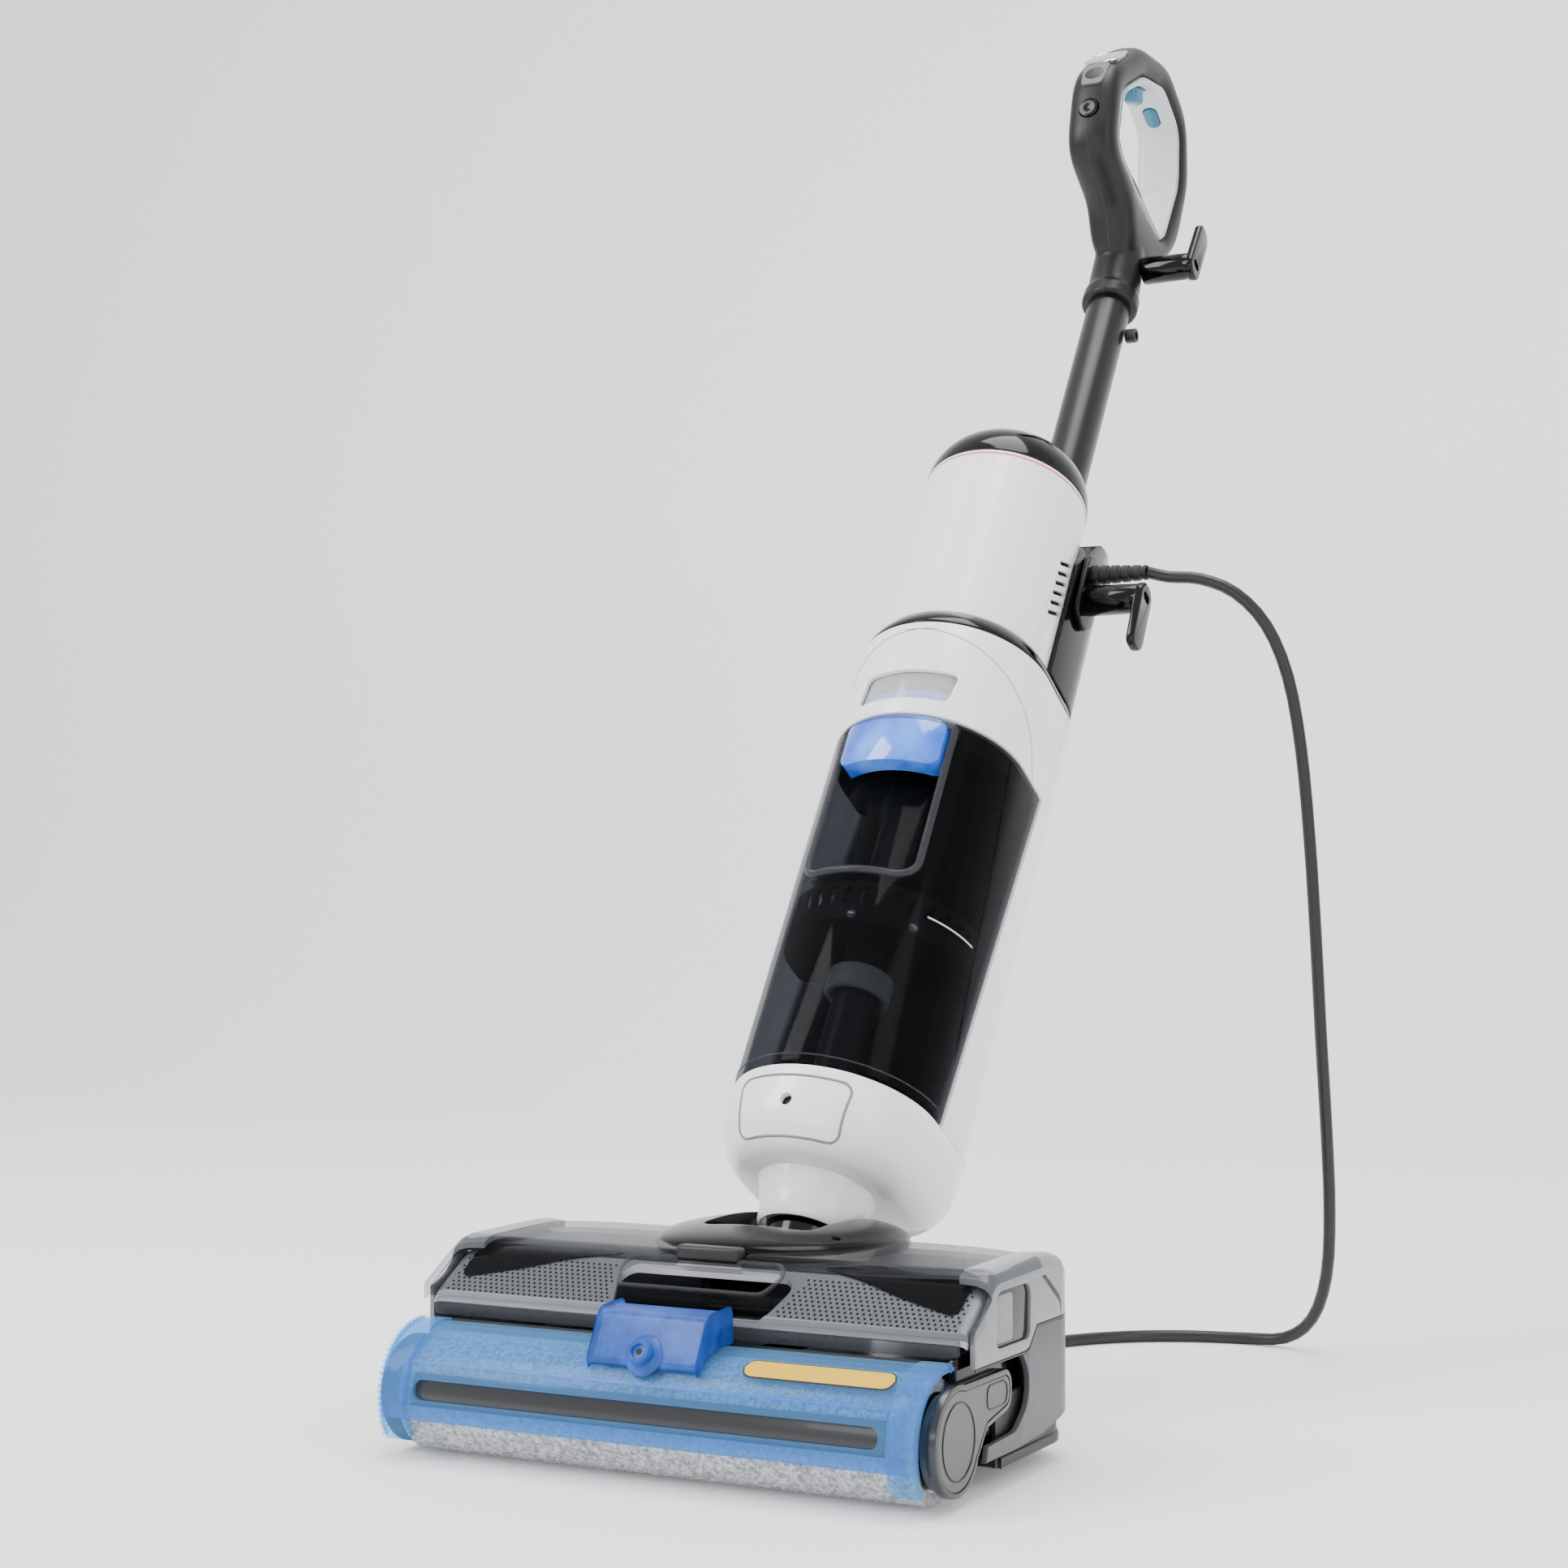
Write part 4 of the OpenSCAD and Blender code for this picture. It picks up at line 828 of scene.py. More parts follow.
for hand, label in SIDES:
    seam = []
    for t in np.linspace(0, 1, 40):
        a, fall = math.radians(-100 + 100 * min(t / 0.85, 1)), t ** 2.2
        x, b = BODY_R * math.cos(a), BODY_R * math.sin(a) + 12 * max(t - 0.85, 0) / 0.15
        seam.append((hand * x, b, S_RING - 5 - (S_RING - S_COLLAR - 5) * fall))
    placed("collar_seam_" + label, *pipe(seam, 0.22, 6), "card_grey", BODY, "body")
# The clean tank's whitish look is painted light, standing in for light inside the shaded collar.
placed("clean_tank_glass", *d_body(S_COLLAR + 3, S_RING - 3, 1.5, inset=3, back=BODY_BACK - 12, corner=24),
       "clear",
       BODY, "clean", ["clean_tank"])
placed("clean_water_fill", *d_body(S_COLLAR + 6, S_COLLAR + 20, 0.8, inset=6, back=BODY_BACK - 15, corner=21),
       "water", BODY, "clean", ["clean_water"])
back_part = placed("clean_tank_back", *d_body(S_COLLAR + 3, S_RING - 3, 0.8), "white_abs", BODY, "clean",
                   ["clean_tank_cover"])
carved(back_part, [block(-90, 90, -90, BODY_BACK - 35.5, S_COLLAR - 20, S_RING + 20, 0.2),
                   d_body(S_COLLAR - 20, S_RING + 20, 0.4, inset=3, back=BODY_BACK - 8.6, corner=28),
                   block(-18, 18, BODY_BACK - 6, BODY_BACK + 20, S_COLLAR + 20, S_COLLAR + 42, 5)], BODY,
       bevel=0.6, crease=40)
print("collar from", S_COLLAR, "to", S_RING)

# %% [markdown]
# Above the collar come a gloss ring, the white motor housing with slanted exhaust slits, a thin
# coloured line, the black dome, and the black spine that carries the wand.

# %% Motor housing
ring_rings = []
for t in np.linspace(0, 1, 9):
    r = 54.6 - (54.6 - HOUSE_R - 0.5) * t ** 1.6
    ring_rings.append(d_ring(S_RING + 0.4 + (S_HOUSE - S_RING - 0.6) * t, radius=r, back=BODY_BACK - 1,
                             corner=36 - 2 * t))
placed("gloss_ring_band", *skin(ring_rings), "gloss_black", BODY, "body", ["gloss_ring"], bevel=0.5)
profile = [(HOUSE_R - 2.5, S_HOUSE + 0.6), (HOUSE_R - 0.6, S_HOUSE), (HOUSE_R, S_HOUSE + 0.7),
           (HOUSE_R, S_DOME - 0.8), (HOUSE_R - 0.8, S_DOME), (HOUSE_R - 2.5, S_DOME)]
housing = placed("motor_housing_shell", *turned(profile, 160), "white_abs", BODY, "body", ["motor_housing"])
slit = slab(rounded([(-11, -1.3, 1.2), (11, -1.3, 1.2), (11, 1.3, 1.2), (-11, 1.3, 1.2)], 4), -6, 4, 0.2)


def slit_at(hand, height):
    """A slanted slit's shape on the housing, beside the spine."""
    a = math.radians(90 - hand * 86)
    place = (Matrix.Rotation(a, 4, "Z") @ Matrix.Translation((HOUSE_R, 0, height))
             @ Matrix.Rotation(math.radians(90), 4, "Y")
             @ Matrix.Rotation(math.radians(90 + hand * 32), 4, "Z"))
    return [tuple(place @ Vector(v)) for v in slit[0]], slit[1]


carved(housing, [joined(*[slit_at(hand, S_HOUSE + 36 + 7 * i) for i in range(6) for hand in (-1, 1)])], BODY)
line_ring = [(HOUSE_R + 0.15, S_DOME - 3.4), (HOUSE_R + 0.15, S_DOME - 2.4), (HOUSE_R - 1, S_DOME - 2.4),
             (HOUSE_R - 1, S_DOME - 3.4)]
placed("housing_line", *turned(line_ring, 160), "orange_line", BODY, "body")
DOME_HIGH = 37.5
dome = [(0, S_DOME + 0.2), (HOUSE_R - 0.4, S_DOME + 0.2), (HOUSE_R, S_DOME + 0.6)]
dome += [(HOUSE_R * math.cos(t) ** 0.9, S_DOME + 0.6 + DOME_HIGH * math.sin(t))
         for t in np.linspace(0.04, math.pi / 2 - 0.02, 28)]
placed("dome_cap_shell", *turned(dome + [(0, S_DOME + 0.6 + DOME_HIGH)], 128), "gloss_black", BODY, "body",
       ["dome_cap"])
profile = rounded([(12, S_HOUSE + 0.2, 1), (84, S_HOUSE + 0.2, 5), (84, S_DOME - 24, 20),
                   (52, S_DOME - 4, 10),
                   (32, S_DOME - 8, 16), (12, S_DOME - 40, 10)])
spine = placed("spine_shell", *d_body(S_HOUSE + 0.4, S_DOME, 1.0, radius=50, back=80, corner=40),
               "gloss_black", BODY,
               "body", ["spine"])
carved(spine, [slab(profile, -120, 120, 0.2, "x")], BODY, "INTERSECT")
carved(spine, [pipe([(0, 0, S_HOUSE - 20), (0, 0, S_DOME + 20)], HOUSE_R + 0.3, 160)], BODY, bevel=0.4,
       crease=40)
print("housing from", S_HOUSE, "to", S_DOME)

# %% [markdown]
# The wand is a painted tube.  The handle is one soft loop: at every angle round the middle of its
# opening there is a rounded section between the opening and the outline, and the sections join
# into a ring.  A flared collar grows out of the ring and grips the wand.

# %% Wand and handle
tube = [(WAND_R - 1.6, S_HOUSE + 42), (WAND_R, S_HOUSE + 42), (WAND_R, S_WAND + 8),
        (WAND_R - 1.6, S_WAND + 8)]
WAND = BODY @ Matrix.Translation((0, WAND_B * MM, 0))
placed("wand_tube", *turned(tube, 64), "wand_paint", WAND, "body", ["wand"])
OUTER = rounded([(-17, 24, 10), (-38, 48, 26), (-86, 53, 24), (-104, 108, 34), (-74, 162, 30), (-32, 190, 36),
                 (14, 188, 30), (42, 150, 40), (48, 92, 40), (17, 38, 24)], 10)
OPENING = rounded([(-68, 70, 16), (-82, 106, 26), (-58, 146, 26), (-30, 167, 16), (6, 166, 18), (25, 132, 30),
                   (23, 76, 9)], 10)
LOOP = np.array([-28.0, 118.0])


def edge_at(outline, angle):
    """How far an outline is from the middle of the loop in one direction."""
    d = np.array([math.cos(angle), math.sin(angle)])
    best = 0
    for a, b in zip(outline, outline[1:] + outline[:1]):
        p, e = np.array(a) - LOOP, np.array(b) - np.array(a)
        cross_ = d[0] * e[1] - d[1] * e[0]
        if abs(cross_) < 1e-9:
            continue
        t, u = (p[0] * e[1] - p[1] * e[0]) / cross_, (p[0] * d[1] - p[1] * d[0]) / cross_
        if t > 0 and -1e-6 <= u <= 1 + 1e-6:
            best = max(best, t)
    return best


def reach(outline, angle):
    """The same distance, evened out over 5 degrees to either side."""
    turns = ((-2, 1), (-1, 2), (0, 3), (1, 2), (2, 1))
    return sum(share * edge_at(outline, angle + math.radians(2.5 * k)) for k, share in turns) / 9


def loop_rings(inner, outer, half_width, power=2.5, count=144, section=36):
    """Rings round the loop between two reach functions."""
    rings = []
    for angle in np.linspace(0, 2 * math.pi, count, endpoint=False):
        r0, r1 = inner(angle), outer(angle)
        ring_ = []
        for a in np.linspace(0, 2 * math.pi, section, endpoint=False):
            c, s = math.cos(a), math.sin(a)
            x = half_width * math.copysign(abs(c) ** (2 / power), c)
            r = (r0 + r1) / 2 + (r1 - r0) / 2 * math.copysign(abs(s) ** (2 / power), s)
            ring_.append((x, LOOP[0] + r * math.cos(angle), S_WAND + LOOP[1] + r * math.sin(angle)))
        rings.append(ring_)
    return skin(rings, closed=True)


grip = loop_rings(lambda a: reach(OPENING, a), lambda a: reach(OUTER, a), 16)
stem_rings = []
for h, r in ((-6, 17.4), (-5.2, 18.4), (4.6, 18.4), (5.4, 17.2), (12, 16.9), (24, 16.6), (36, 16.2),
             (44, 15)):
    stem_rings.append([(r * math.cos(a), r * math.sin(a) - (h > 12) * (h - 12) * 0.12, S_WAND + h)
                       for a in np.linspace(0, 2 * math.pi, 64, endpoint=False)])
stem = skin(stem_rings)
handle = placed("handle_grip", *joined(grip, stem), "soft_grey", WAND, "body", ["handle_shell"])
remesh = handle.modifiers.new("blend", "REMESH")
remesh.mode, remesh.voxel_size, remesh.use_smooth_shade = "VOXEL", 1.15 * MM, True
relax = handle.modifiers.new("relax", "SMOOTH")
relax.factor, relax.iterations = 0.5, 10
baked(handle)


def on_grip(b, s, angle):
    """A place on the handle's outline, with local Z pointing out of the bar."""
    spot = Matrix.Translation((0, b * MM, (S_WAND + s) * MM))
    return WAND @ spot @ Matrix.Rotation(math.radians(angle), 4, "X")


def oval(w, h, r, count=10):
    """A rectangle outline with rounded corners, w and h to either side."""
    return rounded([(-w, -h, r), (w, -h, r), (w, h, r), (-w, h, r)], count)


LENS, MODE, TRIGGER = on_grip(-91, 131, 60), on_grip(-95, 80, 108), on_grip(-46, 155, 37)
RINSE = on_grip(-10, 166.5, -2)
MODE_POCKET = pipe([(0, 0, -9.2), (0, 0, 9)], 7, 48)
for place, parts in ((LENS, slab(oval(11.5, 15.5, 7.4), -6.6, 9, 0.3)), (MODE, MODE_POCKET),
                     (TRIGGER, slab(oval(7, 9.5, 5), -22, 10.3, 0.3)),
                     (RINSE, slab(oval(5, 8.5, 4.4), -20, 5.8, 0.3))):
    cut_away(handle, solid("pocket", parts, place))
soften(handle, 0, 40)
seam_ring = loop_rings(lambda a: reach(OUTER, a) - 0.9, lambda a: reach(OUTER, a) + 0.12, 0.5, count=144,
                       section=8)
seam = placed("handle_seam", *seam_ring, "black_abs", WAND, "body")
carved(seam, [MODE_POCKET], MODE)
liner = placed("handle_liner_band", *loop_rings(lambda a: reach(OPENING, a) - 2.4,
                                                lambda a: reach(OPENING, a) + 2.2,
                                                13.6, power=4.5), "liner_grey", WAND, "body",
               ["handle_liner"])
for place, parts in ((TRIGGER, slab(oval(7, 9.5, 5), -22, 6, 0.3)),
                     (RINSE, slab(oval(5, 8.5, 4.4), -20, 4.2, 0.3))):
    cut_away(liner, solid("pocket", parts, place))
for hand, label in SIDES:
    rim = [(hand * 13.7, LOOP[0] + (reach(OPENING, a) + 0.1) * math.cos(a), S_WAND + LOOP[1]
            + (reach(OPENING, a) + 0.1) * math.sin(a))
           for a in np.linspace(0, 2 * math.pi, 144, endpoint=False)]
    placed("liner_rim_" + label, *pipe(rim, 0.7, 8, closed=True), "chrome_trim",
           WAND, "body")
print("handle", len(handle.data.polygons), "faces")

# %% [markdown]
# On the handle: a gloss display lens in a bright rim with a plain panel under it, a round button,
# a drop-shaped trigger and a pill button inside the loop.

# %% Display and buttons
lens_rings = [[(x, y, h) for x, y in drawn_in(oval(11, 15, 7), i)]
              for h, i in ((-6, 0), (0.1, 0), (0.5, 0.15), (0.8, 0.6), (1.0, 1.4), (1.15, 3), (1.2, 5))]
placed("display_lens_glass", *skin(lens_rings), "lens", LENS, "body", ["display_lens"])
placed("display_rim", *pipe([(x, y, 0.5) for x, y in oval(11.3, 15.3, 7.3)], 0.75, 10, closed=True),
       "chrome_trim",
       LENS, "body")
PANEL = on_grip(-99.6, 106, 86)
panel = [[(x, y, h) for x, y in drawn_in(rounded([(-7, -10, 3), (7, -10, 3), (9.5, 11, 3), (-9.5, 11, 3)]),
                                         i)]
         for h, i in ((-5, 0), (0.4, 0), (0.75, 0.5))]
placed("display_panel", *skin(panel), "mid_grey_abs", PANEL, "body")
mode = [(0, -7), (6.3, -7), (6.3, 0.4), (5.9, 0.9), (4.5, 1.0), (2, 0.85), (0, 0.8)]
placed("mode_key", *turned(mode, 48), "gloss_black", MODE, "mode", ["mode_button"])
drop = rounded([(-4, -9, 4), (4, -9, 4), (6.4, 3, 5), (0, 9, 5), (-6.4, 3, 5)], 8)
trigger = [[(x, y, h) for x, y in drawn_in(drop, i)] for h, i in ((6, 0), (-10, 0), (-11.4, 0.7), (-12, 2))]
placed("trigger_drop", *skin(trigger), "teal_button", TRIGGER, "trigger", ["steam_trigger"])
pill = [[(x, y, h) for x, y in drawn_in(oval(4.4, 7.9, 4.2), i)] for h,
        i in ((4, 0), (-3.2, 0), (-4.2, 0.6), (-4.5, 1.6))]
placed("rinse_pill", *skin(pill), "teal_button", RINSE, "rinse", ["rinse_button"])

# %% [markdown]
# Two cord hooks of one pattern, a round stem with a flat blade: the upper one turns, the lower one
# sits on an oval bracket.  A small open clip on the wand holds the cord.

# %% Hooks and clip
def hook_parts(up, length=30):
    """Stem and blade of a hook, in the hook's own frame."""
    blade = rounded([(-9, -9 * up, 8), (9, -9 * up, 8), (11, 34 * up, 8), (-5, 34 * up, 5)], 8)
    if up < 0:
        blade = blade[::-1]
    return (pipe([(0, 0, 0), (0.6, 0, 0), (length - 3, 0, 0), (length + 1, 0, 0)], [8.6, 9, 8.6, 8.4], 48),
            slab(blade, length, length + 5, 1.4, "x"))


def hook(name, spot, up, extra=()):
    """A whole hook at one spot; up is 1 for the upper one, -1 for the lower one."""
    place = BODY @ Matrix.Translation(Vector(spot) * MM)
    stem_, blade = hook_parts(up)
    body, node = ("hook", "upper_hook") if up > 0 else ("body", "lower_hook")
    piece = placed(name, *stem_, "gloss_black", place, body, [node])
    carved(piece, [blade, *extra], place, "UNION")
    dimple = slab(rounded([(-4.6, -2.6, 2.5), (4.6, -2.6, 2.5), (4.6, 2.6, 2.5), (-4.6, 2.6, 2.5)]), 33.4,
                  40, 0.2, "x")
    carved(piece, [dimple], place, bevel=0.5, crease=45)


hook("upper_cord_hook", (WAND_R + 3.1, WAND_B + 3, S_WAND + 29), 1)
bracket = slab(rounded([(-12, -18, 11), (12, -18, 11), (12, 30, 11), (-12, 30, 11)]), -3.6, 0.2, 1.0, "x")
hook("lower_cord_hook", (54, 28, S_HOUSE + 64), -1, [bracket])
CLIP = BODY @ Matrix.Translation((0, (WAND_B + 6) * MM, (S_WAND - 26) * MM))
clip = [(2.6, WAND_R + 0.2), (4.5, WAND_R + 0.2), (4.5, WAND_R + 7), (2.6, WAND_R + 7)]
placed("cord_clip_ring", *turned(clip, 40, "x"), "black_abs", CLIP, "body", ["cord_clip"], bevel=0.4)
print("hooks and clip ready")

# %% [markdown]
# The head.  Its covers are sheets over one side line, drawn across the width: towards the ends
# every section gets a little lower and shorter, so that the corners come out round.

# %% Head outlines
HEAD_HALF, HEAD_BACK, HEAD_TOP = span("top_cover", ROLLER)[1]
BROW = HEAD_TOP - 19
PLAN = rounded([(HEAD_HALF, 10, 3), (HEAD_HALF, 126, 28), (100, HEAD_BACK, 50), (-100, HEAD_BACK, 50),
                (-HEAD_HALF, 126, 28), (-HEAD_HALF, 10, 3)], 16)


def side_line(drop, y0, low_front, low_back):
    """The head's side line from the front edge over the top to the back, lowered by drop."""
    return rounded([(y0, low_front, 0.1), (y0 + drop * 0.4, BROW - drop, 2.2),
                    (38 + drop / 2, HEAD_TOP - 1.5 - drop, 22), (112, HEAD_TOP - drop, 34),
                    (HEAD_BACK - drop * 0.6, 79 - drop, 7), (HEAD_BACK - drop * 0.4, low_back, 0.1)], 10)


def back_at(x, inset=0.0):
    """How far back the head reaches at one x."""
    best = 0
    for a, b in zip(PLAN, PLAN[1:] + PLAN[:1]):
        if min(a[0], b[0]) - 1e-6 <= x <= max(a[0], b[0]) + 1e-6 and abs(a[0] - b[0]) > 1e-6:
            best = max(best, a[1] + (b[1] - a[1]) * (x - a[0]) / (b[0] - a[0]))
    return max(best, 100) - inset


def sheet(drop, thick, y0, low_front, low_back, half, round_end=6.0, inset=0.0):
    """A closed sheet under the side line, drawn across the width."""
    ends = half - round_end * (1 - np.cos(np.linspace(0, math.pi / 2, 7)))[::-1]
    middle = np.linspace(0, half - round_end, 30)[:-1]
    xs = sorted({round(float(v), 4) for v in list(-ends) + list(-middle) + list(middle) + list(ends)})
    rings = []
    for x in xs:
        over = max(abs(x) - (half - round_end), 0) / round_end
        down = round_end * (1 - math.sqrt(max(1 - over * over, 0))) * 0.7
        stretch = (back_at(min(abs(x), HEAD_HALF - 0.01), inset) - 60) / (HEAD_BACK - 60)
        top_, under = (side_line(drop + extra, y0 + extra, low_front, low_back) for extra in (0, thick))
        section = []
        for points in (top_, under[::-1]):
            for y, z in points:
                y2 = 60 + (y - 60) * stretch if y > 60 else y
                section.append((x, y2, max(z - down * min(1, (z - 56) / 30), 20)))
        rings.append(section)
    return skin(rings)


def slot_cut(w0, y0, w1, y1):
    """Cuts the grip slot's outline, w0 to either side in front and w1 behind."""
    return slab(rounded([(-w0, y0, 5), (w0, y0, 5), (w1, y1, 7), (-w1, y1, 7)]), 60, 130, 0.2)


NECK_CUT = block(-32, 32, 77, 220, 44, 200, 3)
print("head half width", HEAD_HALF, "back", HEAD_BACK, "top", HEAD_TOP)

# %% [markdown]
# The see-through cover has a grip slot and a window for its latch.  Under it lies the silver panel
# with its rows of dots and two dark swoops, and in front of it the bumper.

# %% Transparent cover and the panel under it
cover = placed("top_cover_shell", *sheet(0, 3, 10, BROW - 8, 66.6, HEAD_HALF), "smoke_clear", ROLLER, "head",
               ["top_cover"])
LATCH_WINDOW = block(-17.5, 17.5, 31, 44.6, HEAD_TOP - 8, HEAD_TOP + 5, 0.3)
carved(cover, [slot_cut(38, 16, 46, 34), NECK_CUT, LATCH_WINDOW], ROLLER, bevel=0.5, crease=40)
panel = placed("inner_panel_sheet", *sheet(5.8, 1.8, 13, BROW - 11, 67, HEAD_HALF - 3.4, inset=3.2),
               "silver_mesh",
               ROLLER, "head", ["inner_panel"])
carved(panel, [slot_cut(40, 14.5, 48.5, 36.5), NECK_CUT], ROLLER)
rear = placed("inner_panel_rear", *sheet(5.3, 0.3, 13, BROW - 11, 67, HEAD_HALF - 3.8, inset=3.6),
              "mid_grey_abs",
              ROLLER, "head")
carved(rear, [slot_cut(40, 14.5, 48.5, 36.5), NECK_CUT, block(-200, 200, -20, 42, 40, 160, 1)], ROLLER)
for hand, label in SIDES:
    swoop = rounded([(52, 46, 4), (100, 30, 12), (131, 22, 4), (131, 52, 6), (104, 50, 14), (70, 66, 8)], 8)
    swoop = swoop if hand > 0 else [(-x, y) for x, y in swoop][::-1]
    dark = placed("panel_swoop_" + label, *sheet(4.9, 0.3, 13, BROW - 11, 67, HEAD_HALF - 4.2, inset=4),
                  "gloss_black",
                  ROLLER, "head")
    carved(dark, [slab(swoop, 40, 130, 0.2)], ROLLER, "INTERSECT")
edge = side_line(5.75, 13, BROW - 11, 67)
front = [(p, q) for p, q in zip(edge, edge[1:]) if 13.5 < p[0] < 44 and q[0] > p[0]]


def on_front(distance):
    """A point and its outward direction on the panel's front slope."""
    for (y0, z0), (y1, z1) in front:
        step = math.hypot(y1 - y0, z1 - z0)
        if distance <= step:
            t = distance / step
            return (y0 + (y1 - y0) * t, z0 + (z1 - z0) * t), (-(z1 - z0) / step, (y1 - y0) / step)
        distance -= step
    return None


dots = []
for row in range(10):
    spot = on_front(1.6 + 2.7 * row)
    if spot is None:
        break
    (y, z), (ny, nz) = spot
    for k in range(-43, 44):
        x = 3.1 * (k + 0.5 * (row % 2))
        if abs(x) < HEAD_HALF - 9 and not (abs(x) < 43 + 8 * (y - 14) / 22 and y > 13.4):
            dots.append(((x, y, z + 0.05), (0, ny, nz)))
# The panel's dots are black discs on its surface: painted shade for the dark inside its holes.
repeated("panel_dots", dots, pipe([(0, 0, -0.3), (0, 0, 0.12)], 0.62, 10), "hole_black", ROLLER, "head")
tray = slab(rounded([(-41, 15, 6), (41, 15, 6), (49, 37, 8), (-49, 37, 8)]), 66, 69, 1)
placed("grip_tray", *tray, "gloss_black", ROLLER, "head")


def over_side(y, drop=0.0):
    """Height of the side line at one y."""
    line_ = side_line(drop, 10, BROW - 8, 66.6)
    return max(a[1] + (b[1] - a[1]) * (y - a[0]) / (b[0] - a[0]) for a, b in zip(line_, line_[1:])
               if b[0] - a[0] > 1e-6 and a[0] - 1e-6 <= y <= b[0] + 1e-6)


lip = stepped(rounded([(-38, 16, 5), (38, 16, 5), (46, 34, 7), (-46, 34, 7)], 8), 6)
placed("grip_slot_bead", *pipe([(x, y, over_side(y) - 0.4) for x, y in lip], 1.1, 8, closed=True),
       "bumper_clear",
       ROLLER, "head")
bumper = rounded([(10.6, 61, 1.2), (14.6, 61, 1), (14.6, 69.4, 1), (10.8, 69.4, 1), (8.6, 65.2, 5)], 6)
placed("bumper_strip_bar", *slab(bumper, -136.5, 136.5, 1.4, "x"), "bumper_clear", ROLLER, "head",
       ["bumper_strip"])
placed("cover_latch_bar", *block(-17, 17, 32, 41, HEAD_TOP - 5.5, HEAD_TOP + 1.8, 2), "black_abs", ROLLER,
       "latch", ["cover_latch"], bevel=0.3)

# %% [markdown]
# A shallow black dome surrounds the neck, open behind so that the body can lean back.

# %% Saddle
saddle = [(0, HEAD_TOP - 7), (60.5, HEAD_TOP - 7), (62, HEAD_TOP - 5), (62, HEAD_TOP - 2.6)]
saddle += [(62 * math.cos(t), HEAD_TOP - 2.4 + 11 * math.sin(t))
           for t in np.linspace(0.05, math.pi / 2 - 0.03, 20)]
SADDLE = ROLLER @ Matrix.Translation((0, 108 * MM, 0))
saddle_piece = placed("saddle_dome", *turned(saddle + [(0, HEAD_TOP + 8.6)], 128), "saddle_black", SADDLE,
                      "head", ["saddle"])
carved(saddle_piece, [block(-30.5, 30.5, -31, 140, 0, 200, 6), block(-90, 90, 46, 140, 0, 200, 1),
                      pipe([(44, -30, 60), (44, -30, 140)], 2.2, 24)], SADDLE, bevel=0.8, crease=45)
print("cover, panel and saddle ready")

# %% [markdown]
# Side walls run round the sides and the back along the plan outline.  The light trim climbs over
# the head beside its rounded window; the dark lower shell has the pocket for the roller's cap.

# %% Side walls
def wall_path(inset, start_y, neck=32.0):
    """Plan points from the right front along the side and the back to the neck, inset inwards."""
    outline = drawn_in(PLAN, inset)
    half = [(x, y) for x, y in outline if x > 0 and y > 12]
    path = [(HEAD_HALF - inset, start_y)] + [(HEAD_HALF - inset, y) for y in np.arange(start_y + 3, 96, 3)]
    path += [(x, y) for x, y in half if y > 97] + [(neck, HEAD_BACK - inset)]
    return path


def wall(inset, thick, start_y, top_at, low_at, edge=0.6):
    """A wall along the plan outline on the right, with its mirror image on the left."""
    outer, inner = wall_path(inset, start_y), wall_path(inset + thick, start_y)
    n = min(len(outer), len(inner))
    rings = []
    for (x0, y0), (x1, y1) in zip(outer[:n], inner[:n]):
        z0, z1 = low_at(y0), top_at(y0)
        ux, uy = (x1 - x0) / thick, (y1 - y0) / thick
        rings.append([(x0 + ux * edge, y0 + uy * edge, z0), (x0, y0, z0 + edge), (x0, y0, (2 * z0 + z1) / 3),
                      (x0, y0, (z0 + 2 * z1) / 3), (x0, y0, z1 - edge), (x0 + ux * edge, y0 + uy * edge, z1),
                      (x1, y1, z1), (x1, y1, z0)])
    right_ = skin(rings)
    left_ = ([(-x, y, z) for x, y, z in right_[0]], [f[::-1] for f in right_[1]])
    return joined(right_, left_)


def between(y, table):
    """A height read from a table of (y, height) pairs."""
    ys, zs = zip(*table)
    return float(np.interp(y, ys, zs))


